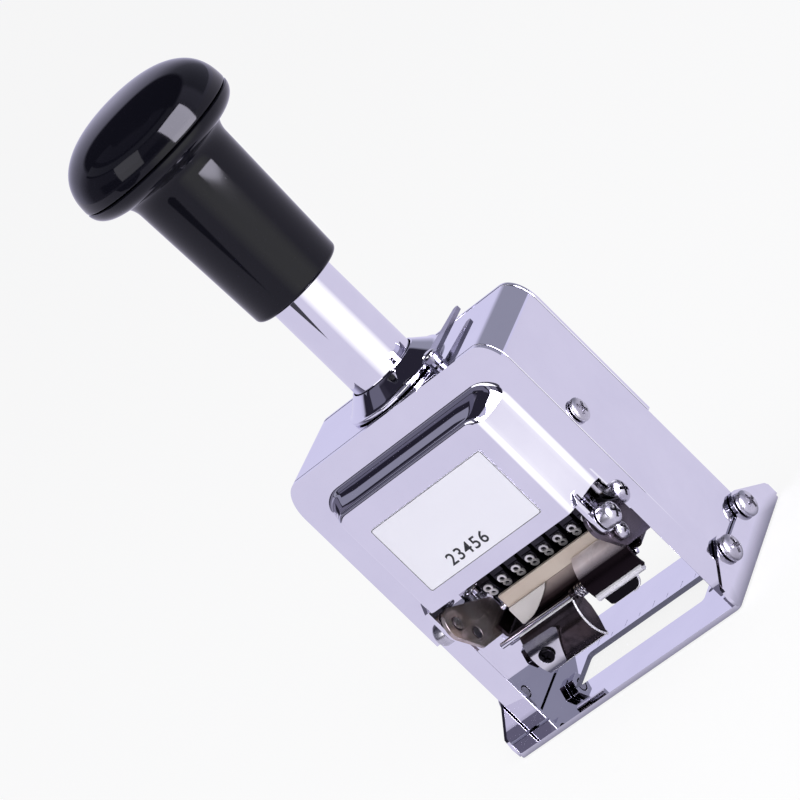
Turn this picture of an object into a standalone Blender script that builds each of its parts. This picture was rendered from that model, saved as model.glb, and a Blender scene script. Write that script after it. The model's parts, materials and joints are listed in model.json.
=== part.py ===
# Hand numbering machine: a chromed case on a foot with a print window, a sprung plunger that carries
# eight number wheels, and an ink pad bracket that swings out to the front as the handle is pressed.
# Metres, +Z up, front towards -Y. The origin is on the table, under the plunger's axis.
import math

import bmesh
import bpy
import numpy as np
from mathutils import Matrix, Vector

# Clearances
GAP = 0.0003                    # between pieces that rest on or pass through each other
GLUE_FILM = 0.0001              # between the label and the nose
OVERRUN = 0.002                 # how far cutters run past what they cut
WELD = 0.00001

# Widths, from the number wheels outwards
WHEEL_COUNT = 8
WHEEL_PITCH = 0.00424
STACK_HALF = WHEEL_COUNT * WHEEL_PITCH / 2
CARRIER_ARM = 0.0005
CARRIER_INNER = STACK_HALF + GAP
PLATE_THICKNESS = 0.0012
PLATE_INNER = CARRIER_INNER + CARRIER_ARM + GAP
SHAFT_HEAD = 0.0006
ARM_ROOM = 0.00074
ARM_THICKNESS = 0.0010
ARM_INNER_X = PLATE_INNER + PLATE_THICKNESS + GAP + SHAFT_HEAD + ARM_ROOM
ARM_CLEAR_X = ARM_INNER_X + ARM_THICKNESS + GAP
SPRING_INNER = 0.0019
SPRING_OUTER = 0.0033
SPRING_ROOM = 0.0014
ROD_X = ARM_CLEAR_X + SPRING_OUTER + GAP
CASE_SHEET = 0.0012
CASE_HALF = ROD_X + SPRING_OUTER + SPRING_ROOM + CASE_SHEET

# Foot: a plate with a print window and two ears that are bent up along the case
FOOT_THICKNESS = 0.0012
FOOT_FRONT = -0.0210
EAR_THICKNESS = 0.0008
WINDOW_ROOM = 0.00254
WINDOW_HALF = STACK_HALF + WINDOW_ROOM
WINDOW_FRONT = -0.0075
WINDOW_BACK = 0.0063
WINDOW_CORNER = 0.0010
INDEX_HOLE_RADIUS = 0.0008
INDEX_HOLE_Y = -0.0049
EAR_SCREW_Z = 0.0073
EAR_SCREW_FRONT_Y = -0.0078
EAR_SCREW_BACK_Y = 0.0093
EAR_LOBE_RADIUS = 0.0038
EAR_FRONT_LOBE_DEG = (125, 10)
EAR_BACK_LOBE_DEG = (170, 55)
EAR_NOSE_SET = 0.0003
EAR_NOSE_LOW_Z = 0.0030
EAR_NOSE_Z = 0.0056
EAR_TAIL_Z = 0.0044
EAR_TAIL_SET = 0.0008
EAR_TAIL_LOW_Z = 0.0033

# Case: a bent sheet with open front and back, and turned-in flanges along its four upright edges
CASE_TOP = 0.0772
CASE_FRONT = -0.01283
CASE_BACK = 0.0112
SHOULDER_ACROSS = 0.0047
SHOULDER_DOWN = 0.0077
SHOULDER_STEPS = 7
FLANGE_WIDTH = 0.0054
FLANGE_FRONT_TOP = 0.0440
FLANGE_BACK_TOP = 0.0690
FLANGE_BACK_FOOT = 0.0115

# Front cover with its hollow nose
COVER_SHEET = 0.0010
COVER_FOOT_Z = 0.0294
NOSE_DEPTH = 0.00947
NOSE_FRONT = CASE_FRONT - NOSE_DEPTH
NOSE_BOTTOM = 0.0387
NOSE_WALL = 0.0010
NOSE_FLARE = 0.0043
NOSE_FLAT_HALF = ARM_CLEAR_X - NOSE_WALL
NOSE_BASE_HALF = NOSE_FLAT_HALF + NOSE_FLARE
NOSE_BASE_DROP = 0.0077
NOSE_SLOPE = 0.0027
NOSE_BASE_TOP = CASE_TOP - NOSE_BASE_DROP
NOSE_FLAT_TOP = NOSE_BASE_TOP - NOSE_SLOPE
NOSE_EDGE_RADIUS = 0.0022
NOSE_EDGE_STEPS = 3
LUG_INNER_X = ARM_CLEAR_X
LUG_THICKNESS = 0.0010
LUG_RADIUS = 0.0030
LUG_TOP_Z = 0.0415
SIDE_SCREW_SET = 0.00383
SIDE_SCREW_Y = CASE_FRONT + SIDE_SCREW_SET
TAB_REACH = 0.0038
TAB_REACH_Y = SIDE_SCREW_Y + TAB_REACH
TAB_HALF_HEIGHT = 0.0045
TAB_THICKNESS = 0.0010
SIDE_SCREW_Z = 0.0514

# Back cover
BACK_COVER_FOOT_Z = 0.0360
BACK_SCREW_INSET = 0.0031
BACK_SCREW_X = CASE_HALF - BACK_SCREW_INSET
BACK_SCREW_DROP = 0.0105
BACK_SCREW_Z = FLANGE_BACK_TOP - BACK_SCREW_DROP

# Label
LABEL_HALF = 0.01665
LABEL_RISE = 0.0040
LABEL_HEIGHT = 0.0187
LABEL_LOW = NOSE_BOTTOM + LABEL_RISE
LABEL_HIGH = LABEL_LOW + LABEL_HEIGHT
LABEL_THICKNESS = 0.0002
FOOT_BACK = GLUE_FILM + LABEL_THICKNESS - NOSE_FRONT     # the origin is midway between front and back

# Screws
SCREW_SHANK = 0.00125
FOOT_SCREW_HEAD = 0.0031
FOOT_SCREW_DOME = 0.0019
FOOT_SCREW_REACH = 0.0046
NUT_ACROSS_CORNERS = 0.0031
NUT_THICKNESS = 0.0018
SIDE_SCREW_HEAD = 0.0028
SIDE_SCREW_DOME = 0.0012
SIDE_SCREW_REACH = 0.0032
BACK_SCREW_HEAD = 0.0022
BACK_SCREW_DOME = 0.0010
BACK_SCREW_REACH = 0.0030
SCREW_SIDES = 12
RIM_SHARE = 0.35                # upright part of a domed head, as a share of the head's height
DOME_STEPS = 3

# Collar and its lock lever
COLLAR_FLANGE_RADIUS = 0.0128
COLLAR_FLANGE_RISE = 0.0009
COLLAR_CONE_RADIUS = 0.0093
COLLAR_RISE = 0.0043
COLLAR_SPIGOT_RADIUS = 0.0097
COLLAR_SPIGOT_DROP = 0.0030
LEVER_X = 0.0152
LEVER_Y = -0.0078
LEVER_HUB = 0.0021
LEVER_THICKNESS = 0.0010
LEVER_RISE = 0.0012
LEVER_TIP_Y = 0.0108
LEVER_TIP_X = 0.0168
LEVER_TIP_HALF = 0.0005
LEVER_HUB_DEG = (150, 390)
RIVET_RADIUS = 0.0009
RIVET_HEAD = 0.0016
RIVET_DOME = 0.0006
RIVET_REACH = 0.0028

# Plunger: stem, handle and crosshead
STROKE = 0.0240
STEM_RADIUS = 0.00795
STEM_BORE = 0.0062
NECK_ROOM = 0.0013
NECK_BOTTOM = CASE_TOP + GAP + COLLAR_RISE + STROKE + NECK_ROOM
STEM_IN_NECK = 0.0259
STEM_TOP = NECK_BOTTOM + STEM_IN_NECK
NECK_LOW_RADIUS = 0.0114
NECK_HIGH_RADIUS = 0.0125
NECK_LENGTH = 0.0329
NECK_TOP = NECK_BOTTOM + NECK_LENGTH
SEAM_RISE = 0.0087
SEAM_Z = NECK_TOP + SEAM_RISE
KNOB_RADIUS = 0.0205
KNOB_RISE = 0.0131
KNOB_TOP = SEAM_Z + KNOB_RISE
KNOB_POWER = 2.6
KNOB_UNDER_RISE = 0.0033
KNOB_UNDER_Z = NECK_TOP + KNOB_UNDER_RISE
KNOB_UNDER_RADIUS = 0.0152
KNOB_RINGS = 9
BOWL_STEPS = 4
ROUND_SIDES = 36
CROSSHEAD_THICKNESS = 0.0042
CROSSHEAD_ROOM = 0.0007
CROSSHEAD_HALF = CASE_HALF - CASE_SHEET - GAP - TAB_THICKNESS - CROSSHEAD_ROOM
CROSSHEAD_FRONT = -0.0050
CROSSHEAD_BACK = 0.0080
CROSSHEAD_CORNER = 0.0020
ROD_Y = 0.0030
ROD_RADIUS = 0.0015
SEAT_TOP = 0.0280
SEAT_THICKNESS = 0.0015
SEAT_INNER_X = ARM_CLEAR_X
SEAT_HALF_Y = 0.0042
SEAT_LEG = 0.0090

# Number wheels and what carries and turns them
WHEEL_RADIUS = 0.0095
WHEEL_ROOT = 0.0088
WHEEL_WIDTH = 0.0032
RATCHET_RADIUS = 0.0072
RATCHET_ROOT = 0.0062
RATCHET_WIDTH = 0.0007
FIGURES = 10
FIGURE_SHARE = 0.62             # raised part of each figure's sector
WHEEL_DROP = STROKE + GAP       # from the table to the lowest figure at rest
SHAFT_RADIUS = 0.0016
PLATE_RADIUS = 0.0050
SHAFT_HEAD_RADIUS = 0.0027
COMB_Y = 0.0073
COMB_THICKNESS = 0.0006
COMB_LOW_Z = 0.0408
COMB_ROOT_Z = 0.0560
COMB_SLOT = 0.0010
CARRIER_RING = 0.0031
CARRIER_ROD_RADIUS = 0.0006
CARRIER_REACH = 0.0104
CARRIER_ROD_DEG = 4.0
PAWL_ARM_HALF = 0.0011
CARRIER_HUB_DEG = (70, 290)
CARRIER_TIP_DEG = (-70, 70)

# Ink pad bracket, which turns on two screws in the nose's lugs
PIVOT_SET = 0.0040
PIVOT_Y = NOSE_FRONT + PIVOT_SET
PIVOT_Z = 0.0323
PIVOT_SHANK = 0.0014
PIVOT_HEAD = 0.0027
PIVOT_HEAD_LENGTH = 0.0036
ARM_PIVOT_RADIUS = 0.0040
ARM_LOBE_DEG = (60, 200)
ARM_END_Y = -0.0020
ARM_END_HIGH_Z = 0.0283
ARM_END_LOW_Z = 0.0197
ARM_KNEE_Y = -0.0172
ARM_KNEE_Z = 0.0241
TRAY_FLOOR_Z = 0.0198
TRAY_SHEET = 0.0008
TRAY_FRONT = -0.0095
TRAY_BACK = 0.0080
TRAY_WALL_Z = 0.0238
FRAME_SHEET = 0.0009
FRAME_FRONT = -0.0109
FRAME_SET = 0.00296
FRAME_HALF = STACK_HALF - FRAME_SET
FRAME_FRONT_TOP = 0.0293
TONGUE_LEFT = -0.0138
TONGUE_RIGHT = -0.0022
TONGUE_LOW = 0.0213
TONGUE_HIGH = 0.0262
TONGUE_CORNER = 0.0022
TONGUE_THICKNESS = 0.0006
FELT_HALF = STACK_HALF
FELT_FRONT = -0.0076
FELT_BACK = 0.0070
FELT_EDGE = 0.0004
HOOD_LEFT = 0.0062
HOOD_CENTRE_Y = -0.0090
HOOD_CENTRE_Z = 0.0205
HOOD_RADIUS = 0.0070
HOOD_SHEET = 0.0008
HOOD_FROM_DEG = 114.0
HOOD_TO_DEG = 202.0
GRIP_LEFT = -0.0143
GRIP_RIGHT = 0.0020
GRIP_CENTRE_Y = -0.0105
GRIP_CENTRE_Z = 0.0156
GRIP_RADIUS = 0.0074
GRIP_SHEET = 0.0008
GRIP_FROM_DEG = 132.0
GRIP_TO_DEG = 226.0
GRIP_FLANGE_BACK = -0.0020
GRIP_PLATE_LEFT = -0.0140
GRIP_PLATE_RIGHT = -0.0080
GRIP_PLATE_FROM_DEG = 168.0
GRIP_PLATE_TO_DEG = 212.0
GRIP_PLATE_THICKNESS = 0.0006
GRIP_SCREW_X = -0.0112
GRIP_SCREW_DEG = 190.0
GRIP_SCREW_HEAD = 0.0015
GRIP_SCREW_DOME = 0.0008
GRIP_SCREW_REACH = 0.0030
TAB_CENTRE_X = 0.0134
TAB_CENTRE_Z = 0.0166
TAB_RADIUS = 0.0026
TAB_ROUND_DEG = (-90, 60)
TAB_LEFT = 0.0062
TAB_FRONT = -0.0138
TAB_SHEET = 0.0010
TAB_STEM_BACK = -0.0050
ARM_SCREW_Y = -0.0155
ARM_SCREW_Z = 0.0272
ARM_SCREW_HEAD = 0.0021
ARM_SCREW_DOME = 0.0016
ARM_SCREW_REACH = 0.0014
LATCH_Y = -0.0134
LATCH_Z = 0.0208
LATCH_RADIUS = 0.0007
HOOK_LEFT = 0.0026
HOOK_RADIUS = 0.0013
HOOK_WIRE = 0.00028
HOOK_PITCH = 0.0010
HOOK_CURLS = 3
HOOK_POINTS = 10
ARC_STEPS = 7

PARTS = "numbering_machine"
CUTTERS = "cutters"


def clear_scene():
    for found in list(bpy.data.objects):
        bpy.data.objects.remove(found, do_unlink=True)


def collection(name, shown):
    made = bpy.data.collections.new(name)
    bpy.context.scene.collection.children.link(made)
    made.hide_render = not shown
    return made


def material(name, colour, metallic, roughness):
    made = bpy.data.materials.new(name)
    made.use_nodes = True
    shader = made.node_tree.nodes["Principled BSDF"]
    shader.inputs["Base Color"].default_value = (*colour, 1)
    shader.inputs["Metallic"].default_value = metallic
    shader.inputs["Roughness"].default_value = roughness
    return made


def add_object(name, mesh, finish=None):
    made = bpy.data.objects.new(name, mesh)
    if finish:
        mesh.materials.append(FINISHES[finish])
        bpy.data.collections[PARTS].objects.link(made)
        mesh.shade_smooth()
        mesh.set_sharp_from_angle(angle=math.radians(35))
    else:
        bpy.data.collections[CUTTERS].objects.link(made)
        made.hide_render = True
        made.display_type = "WIRE"
    return made


def from_bmesh(name, work, finish=None):
    mesh = bpy.data.meshes.new(name)
    work.to_mesh(mesh)
    work.free()
    return add_object(name, mesh, finish)


def box(name, low, high, finish=None):
    low, high = Vector(low), Vector(high)
    work = bmesh.new()
    bmesh.ops.create_cube(work, size=1)
    bmesh.ops.scale(work, vec=high - low, verts=work.verts)
    bmesh.ops.translate(work, vec=(low + high) / 2, verts=work.verts)
    return from_bmesh(name, work, finish)


def cylinder(name, radius, start, end, sides, finish=None):
    start, end = Vector(start), Vector(end)
    work = bmesh.new()
    bmesh.ops.create_cone(work, cap_ends=True, segments=sides, radius1=radius, radius2=radius,
                          depth=(end - start).length)
    turn = (end - start).to_track_quat("Z", "Y").to_matrix().to_4x4()
    work.transform(Matrix.Translation((start + end) / 2) @ turn)
    return from_bmesh(name, work, finish)


def turned(name, profile, place, towards, steps, finish=None):
    """Profile points are (radius, height), down the outer side; towards is where +height points."""
    mesh = bpy.data.meshes.new(name)
    closed = profile[0] == profile[-1]
    points = profile[:-1] if closed else profile
    edges = [(i, i + 1) for i in range(len(points) - 1)]
    if closed:
        edges.append((len(points) - 1, 0))
    mesh.from_pydata([(r, 0, h) for r, h in points], edges, [])
    work = add_object(name, mesh)
    screw = work.modifiers.new("turn", "SCREW")
    screw.axis = "Z"
    screw.steps = screw.render_steps = steps
    screw.use_merge_vertices = True
    screw.merge_threshold = WELD
    turn = Vector(towards).to_track_quat("Z", "Y").to_matrix().to_4x4()
    work.matrix_world = Matrix.Translation(place) @ turn
    return as_mesh(work, name, finish)


def as_mesh(source, name, finish=None):
    """The evaluated shape of an object as a plain mesh in world space; the source object is removed."""
    bpy.context.view_layer.update()
    graph = bpy.context.evaluated_depsgraph_get()
    mesh = bpy.data.meshes.new_from_object(source.evaluated_get(graph))
    mesh.transform(source.matrix_world)
    work = bmesh.new()
    work.from_mesh(mesh)
    bmesh.ops.remove_doubles(work, verts=work.verts, dist=WELD)
    bmesh.ops.recalc_face_normals(work, faces=work.faces)
    work.to_mesh(mesh)
    work.free()
    mesh.materials.clear()
    bpy.data.objects.remove(source, do_unlink=True)
    mesh.name = name
    return add_object(name, mesh, finish)


PLANES = {
    "XY": Matrix.Identity(4),
    "YZ": Matrix(((0, 0, 1, 0), (1, 0, 0, 0), (0, 1, 0, 0), (0, 0, 0, 1))),
    "XZ": Matrix(((1, 0, 0, 0), (0, 0, -1, 0), (0, 1, 0, 0), (0, 0, 0, 1))),
}


def plate(name, plane, outlines, low, high, finish=None):
    """A flat outline with holes, from low to high along the axis that the plane leaves out."""
    curve = bpy.data.curves.new(name, "CURVE")
    curve.dimensions = "2D"
    curve.fill_mode = "BOTH"
    curve.extrude = (high - low) / 2
    for outline in outlines:
        spline = curve.splines.new("POLY")
        spline.points.add(len(outline) - 1)
        for point, (u, v) in zip(spline.points, outline):
            point.co = (u, v, 0, 1)
        spline.use_cyclic_u = True
    work = add_object(name, curve)
    turn = PLANES[plane]
    along = turn.to_3x3() @ Vector((0, 0, 1))
    middle = (low + high) / 2
    axis = Vector([abs(value) for value in along])
    work.matrix_world = Matrix.Translation(axis * middle) @ turn
    return as_mesh(work, name, finish)


def circle(u, v, radius, steps, from_deg=0.0):
    angles = [math.radians(from_deg + 360 * i / steps) for i in range(steps)]
    return [(u + radius * math.cos(a), v + radius * math.sin(a)) for a in angles]


def arc(u, v, radius, from_deg, to_deg, steps):
    angles = np.radians(np.linspace(from_deg, to_deg, steps + 1))
    return [(u + radius * math.cos(a), v + radius * math.sin(a)) for a in angles]


def rounded_box(low_u, high_u, low_v, high_v, radius, steps=3):
    corners = ((high_u, high_v, 0), (low_u, high_v, 90), (low_u, low_v, 180), (high_u, low_v, 270))
    points = []
    for u, v, start in corners:
        inner_u = u - math.copysign(radius, u - (low_u + high_u) / 2)
        inner_v = v - math.copysign(radius, v - (low_v + high_v) / 2)
        points += arc(inner_u, inner_v, radius, start, start + 90, steps)
    return points


def boolean(target, other, operation):
    step = target.modifiers.new(operation.lower(), "BOOLEAN")
    step.operation = operation
    step.object = other
    return target


def cut(target, *cutters):
    for cutter in cutters:
        boolean(target, cutter, "DIFFERENCE")
    return target


def join(target, *others):
    for other in others:
        boolean(target, other, "UNION")
    return target


def sides():
    return (("left", -1), ("right", 1))


def ordered(first, second):
    return (first, second) if first < second else (second, first)


def screw(name, head_radius, dome, reach, place, towards, finish):
    """A domed screw: place is under its head, towards is the way out of the surface."""
    rim = dome * RIM_SHARE
    profile = [(0, dome)]
    profile += [(head_radius * math.sin(a), rim + (dome - rim) * math.cos(a))
                for a in np.radians(np.linspace(0, 90, DOME_STEPS + 1)[1:])]
    profile += [(head_radius, 0), (SCREW_SHANK, 0), (SCREW_SHANK, -reach), (0, -reach)]
    return turned(name, profile, place, towards, SCREW_SIDES, finish)


def arch(half, top, across, down, bottom):
    """An upright outline with elliptic shoulders, from lower right over the top to lower left."""
    right = [(half, bottom)]
    for i in range(SHOULDER_STEPS + 1):
        a = math.radians(90 * i / SHOULDER_STEPS)
        right.append((half - across + across * math.cos(a), top - down + down * math.sin(a)))
    return right + [(-u, v) for u, v in reversed(right)]


def ribbon(points, thickness):
    """The closed outline of a bent strip whose middle line runs through the points."""
    line = [Vector(point) for point in points]
    first, second = [], []
    for i, point in enumerate(line):
        before = (point - line[i - 1]).normalized() if i else None
        after = (line[i + 1] - point).normalized() if i + 1 < len(line) else None
        along = ((before or after) + (after or before)).normalized()
        across = Vector((-along.y, along.x)) * (thickness / 2)
        if before and after:
            across /= along.dot(after)
        first.append(tuple(point + across))
        second.append(tuple(point - across))
    return first + second[::-1]


# Foot

def foot():
    ear_inner = CASE_HALF + GAP
    ear_outer = ear_inner + EAR_THICKNESS
    outline = rounded_box(-ear_outer, ear_outer, FOOT_FRONT, FOOT_BACK, WINDOW_CORNER)
    window = rounded_box(-WINDOW_HALF, WINDOW_HALF, WINDOW_FRONT, WINDOW_BACK, WINDOW_CORNER)
    hole = circle(WINDOW_HALF + INDEX_HOLE_RADIUS * 2, INDEX_HOLE_Y, INDEX_HOLE_RADIUS, SCREW_SIDES)
    base = plate("foot_plate", "XY", [outline, window, hole], 0, FOOT_THICKNESS, "chrome")
    for side, sign in sides():
        low, high = ordered(sign * ear_inner, sign * ear_outer)
        holes = [circle(y, EAR_SCREW_Z, SCREW_SHANK + GAP, SCREW_SIDES)
                 for y in (EAR_SCREW_FRONT_Y, EAR_SCREW_BACK_Y)]
        join(base, plate("ear_" + side, "YZ", [ear_outline(), *holes], low, high))
    return base


def ear_outline():
    rise = FOOT_THICKNESS / 2
    front = arc(EAR_SCREW_FRONT_Y, EAR_SCREW_Z, EAR_LOBE_RADIUS, *EAR_FRONT_LOBE_DEG, ARC_STEPS)
    back = arc(EAR_SCREW_BACK_Y, EAR_SCREW_Z, EAR_LOBE_RADIUS, *EAR_BACK_LOBE_DEG, ARC_STEPS)
    start = [(FOOT_FRONT + EAR_NOSE_SET, rise), (FOOT_FRONT, EAR_NOSE_LOW_Z),
             (FOOT_FRONT + EAR_NOSE_SET * 2, EAR_NOSE_Z)]
    end = [(FOOT_BACK - EAR_TAIL_SET, EAR_TAIL_Z), (FOOT_BACK, EAR_TAIL_LOW_Z), (FOOT_BACK, rise)]
    return start + front + back + end


def foot_fasteners():
    made = []
    for side, sign in sides():
        for end, y in (("front", EAR_SCREW_FRONT_Y), ("back", EAR_SCREW_BACK_Y)):
            under_head = sign * (CASE_HALF + GAP * 2 + EAR_THICKNESS)
            made.append(screw(f"foot_screw_{side}_{end}", FOOT_SCREW_HEAD, FOOT_SCREW_DOME, FOOT_SCREW_REACH,
                              (under_head, y, EAR_SCREW_Z), (sign, 0, 0), "chrome"))
            wall = CASE_HALF - CASE_SHEET - GAP
            low, high = ordered(sign * (wall - NUT_THICKNESS), sign * wall)
            hexagon = circle(y, EAR_SCREW_Z, NUT_ACROSS_CORNERS, 6)
            bore = circle(y, EAR_SCREW_Z, SCREW_SHANK + GAP, SCREW_SIDES)
            made.append(plate(f"foot_nut_{side}_{end}", "YZ", [hexagon, bore], low, high, "chrome"))
    return made


# Case

def case_shell():
    bottom = FOOT_THICKNESS + GAP
    outer = arch(CASE_HALF, CASE_TOP, SHOULDER_ACROSS, SHOULDER_DOWN, bottom)
    inner = arch(CASE_HALF - CASE_SHEET, CASE_TOP - CASE_SHEET, SHOULDER_ACROSS - CASE_SHEET,
                 SHOULDER_DOWN - CASE_SHEET, bottom)
    shell = plate("case_shell", "XZ", [outer + inner[::-1]], CASE_FRONT, CASE_BACK, "chrome")
    hole_low = CASE_HALF - CASE_SHEET - OVERRUN
    hole_high = CASE_HALF + OVERRUN
    for side, sign in sides():
        low, high = ordered(sign * (CASE_HALF - FLANGE_WIDTH), sign * (CASE_HALF - CASE_SHEET / 2))
        for end, front, foot_z, top in (("front", CASE_FRONT, bottom, FLANGE_FRONT_TOP),
                                        ("back", CASE_BACK - CASE_SHEET, FLANGE_BACK_FOOT, FLANGE_BACK_TOP)):
            join(shell, box(f"flange_{side}_{end}", (low, front, foot_z), (high, front + CASE_SHEET, top)))
        places = ((EAR_SCREW_FRONT_Y, EAR_SCREW_Z), (EAR_SCREW_BACK_Y, EAR_SCREW_Z),
                  (SIDE_SCREW_Y, SIDE_SCREW_Z))
        for i, (y, z) in enumerate(places):
            cut(shell, cylinder(f"wall_hole_{side}_{i}", SCREW_SHANK + GAP, (sign * hole_low, y, z),
                                (sign * hole_high, y, z), SCREW_SIDES))
        cut(shell, cylinder("back_hole_" + side, SCREW_SHANK + GAP,
                            (sign * BACK_SCREW_X, CASE_BACK - CASE_SHEET - OVERRUN, BACK_SCREW_Z),
                            (sign * BACK_SCREW_X, CASE_BACK + OVERRUN, BACK_SCREW_Z), SCREW_SIDES))
    low = CASE_TOP - CASE_SHEET - OVERRUN
    high = CASE_TOP + OVERRUN
    cut(shell, cylinder("stem_hole", COLLAR_SPIGOT_RADIUS + GAP, (0, 0, low), (0, 0, high), ROUND_SIDES))
    cut(shell, cylinder("rivet_hole", RIVET_RADIUS + GAP, (LEVER_X, LEVER_Y, low),
                        (LEVER_X, LEVER_Y, high), SCREW_SIDES))
    return shell


def nose_block(name, inset, base_y, bottom):
    """The nose's outer form, or with an inset its hollow: wide at the case, narrower at the front."""
    front_y = NOSE_FRONT + inset
    middle_y = (front_y + base_y) / 2
    work = bmesh.new()
    bmesh.ops.create_cube(work, size=1)
    for vert in work.verts:
        at_front = vert.co.y < 0
        half = (NOSE_FLAT_HALF if at_front else NOSE_BASE_HALF) - inset
        top = (NOSE_FLAT_TOP if at_front else NOSE_BASE_TOP) - inset
        vert.co = (math.copysign(half, vert.co.x), front_y if at_front else base_y,
                   top if vert.co.z > 0 else bottom)
    rounded = [edge for edge in work.edges
               if not all(v.co.z < NOSE_BOTTOM + OVERRUN for v in edge.verts)
               and not all(v.co.y > middle_y for v in edge.verts)]
    bmesh.ops.bevel(work, geom=rounded, offset=NOSE_EDGE_RADIUS - inset,
                    segments=1 if inset else NOSE_EDGE_STEPS, profile=0.5, affect="EDGES")
    bmesh.ops.triangulate(work, faces=work.faces)
    return from_bmesh(name, work)


def front_cover():
    face_y = CASE_FRONT - GAP
    front_y = face_y - COVER_SHEET
    outer = arch(CASE_HALF, CASE_TOP, SHOULDER_ACROSS, SHOULDER_DOWN, COVER_FOOT_Z)
    mouth_half = NOSE_BASE_HALF - NOSE_WALL / 2
    mouth_top = NOSE_BOTTOM + COVER_SHEET / 2
    mouth = [(-mouth_half, COVER_FOOT_Z), (-mouth_half, mouth_top), (mouth_half, mouth_top),
             (mouth_half, COVER_FOOT_Z)]
    cover = plate("front_cover", "XZ", [outer + mouth], front_y, face_y, "chrome")
    join(cover, nose_block("nose", 0, (front_y + face_y) / 2, NOSE_BOTTOM))
    cut(cover, nose_block("nose_hollow", NOSE_WALL, face_y + OVERRUN, NOSE_BOTTOM - OVERRUN))
    wall = CASE_HALF - CASE_SHEET - GAP
    for side, sign in sides():
        low, high = ordered(sign * LUG_INNER_X, sign * (LUG_INNER_X + LUG_THICKNESS))
        tip = arc(PIVOT_Y, PIVOT_Z, LUG_RADIUS, 180, 360, ARC_STEPS)
        outline = tip + [(PIVOT_Y + LUG_RADIUS, LUG_TOP_Z), (PIVOT_Y, LUG_TOP_Z),
                         (PIVOT_Y - LUG_RADIUS, NOSE_BOTTOM)]
        bore = circle(PIVOT_Y, PIVOT_Z, PIVOT_SHANK + GAP, SCREW_SIDES)
        join(cover, plate("lug_" + side, "YZ", [outline, bore], low, high))
        low, high = ordered(sign * (wall - TAB_THICKNESS), sign * wall)
        tab = plate("tab_" + side, "YZ",
                    [rounded_box(front_y + COVER_SHEET / 2, TAB_REACH_Y, SIDE_SCREW_Z - TAB_HALF_HEIGHT,
                                 SIDE_SCREW_Z + TAB_HALF_HEIGHT, WINDOW_CORNER / 4),
                     circle(SIDE_SCREW_Y, SIDE_SCREW_Z, SCREW_SHANK + GAP, SCREW_SIDES)], low, high)
        join(cover, tab)
    return cover


def label_plate():
    front = NOSE_FRONT - GLUE_FILM
    outline = rounded_box(-LABEL_HALF, LABEL_HALF, LABEL_LOW, LABEL_HIGH, WINDOW_CORNER / 2)
    return plate("label_plate", "XZ", [outline], front - LABEL_THICKNESS, front, "label")


def back_cover():
    low = CASE_BACK + GAP
    outer = arch(CASE_HALF, CASE_TOP, SHOULDER_ACROSS, SHOULDER_DOWN, BACK_COVER_FOOT_Z)
    holes = [circle(sign * BACK_SCREW_X, BACK_SCREW_Z, SCREW_SHANK + GAP, SCREW_SIDES) for _, sign in sides()]
    return plate("back_cover", "XZ", [outer, *holes], low, low + COVER_SHEET, "chrome")


def back_screws():
    face = CASE_BACK + GAP + COVER_SHEET + GAP
    return [screw("back_screw_" + side, BACK_SCREW_HEAD, BACK_SCREW_DOME, BACK_SCREW_REACH,
                  (sign * BACK_SCREW_X, face, BACK_SCREW_Z), (0, 1, 0), "chrome") for side, sign in sides()]


def side_screws():
    return [screw("side_screw_" + side, SIDE_SCREW_HEAD, SIDE_SCREW_DOME, SIDE_SCREW_REACH,
                  (sign * (CASE_HALF + GAP), SIDE_SCREW_Y, SIDE_SCREW_Z), (sign, 0, 0), "chrome")
            for side, sign in sides()]


def collar():
    seat = CASE_TOP + GAP
    bore = STEM_RADIUS + GAP
    profile = [(bore, seat + COLLAR_RISE), (COLLAR_CONE_RADIUS, seat + COLLAR_RISE),
               (COLLAR_FLANGE_RADIUS, seat + COLLAR_FLANGE_RISE), (COLLAR_FLANGE_RADIUS, seat),
               (COLLAR_SPIGOT_RADIUS, seat), (COLLAR_SPIGOT_RADIUS, CASE_TOP - COLLAR_SPIGOT_DROP),
               (bore, CASE_TOP - COLLAR_SPIGOT_DROP), (bore, seat + COLLAR_RISE)]
    return turned("collar", profile, (0, 0, 0), (0, 0, 1), ROUND_SIDES, "chrome")


def lock_lever():
    seat = CASE_TOP + GAP
    top = seat + LEVER_RISE + LEVER_THICKNESS
    hub = arc(LEVER_X, LEVER_Y, LEVER_HUB, *LEVER_HUB_DEG, ARC_STEPS)
    blade = hub + [(LEVER_TIP_X + LEVER_TIP_HALF, LEVER_TIP_Y), (LEVER_TIP_X - LEVER_TIP_HALF, LEVER_TIP_Y)]
    bore = circle(LEVER_X, LEVER_Y, RIVET_RADIUS + GAP, SCREW_SIDES)
    lever = plate("lock_lever", "XY", [blade, bore], top - LEVER_THICKNESS, top, "steel")
    boss = circle(LEVER_X, LEVER_Y, LEVER_HUB - GAP, SCREW_SIDES)
    join(lever, plate("lever_boss", "XY", [boss, bore], seat, top - LEVER_THICKNESS / 2))
    return lever


def lever_rivet():
    place = (LEVER_X, LEVER_Y, CASE_TOP + GAP * 2 + LEVER_RISE + LEVER_THICKNESS)
    rim = RIVET_DOME * RIM_SHARE
    profile = [(0, RIVET_DOME), (RIVET_HEAD / 2, RIVET_DOME), (RIVET_HEAD, rim), (RIVET_HEAD, 0),
               (RIVET_RADIUS, 0), (RIVET_RADIUS, -RIVET_REACH), (0, -RIVET_REACH)]
    return turned("lever_rivet", profile, place, (0, 0, 1), SCREW_SIDES, "steel")


# Guides and springs inside the case

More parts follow.
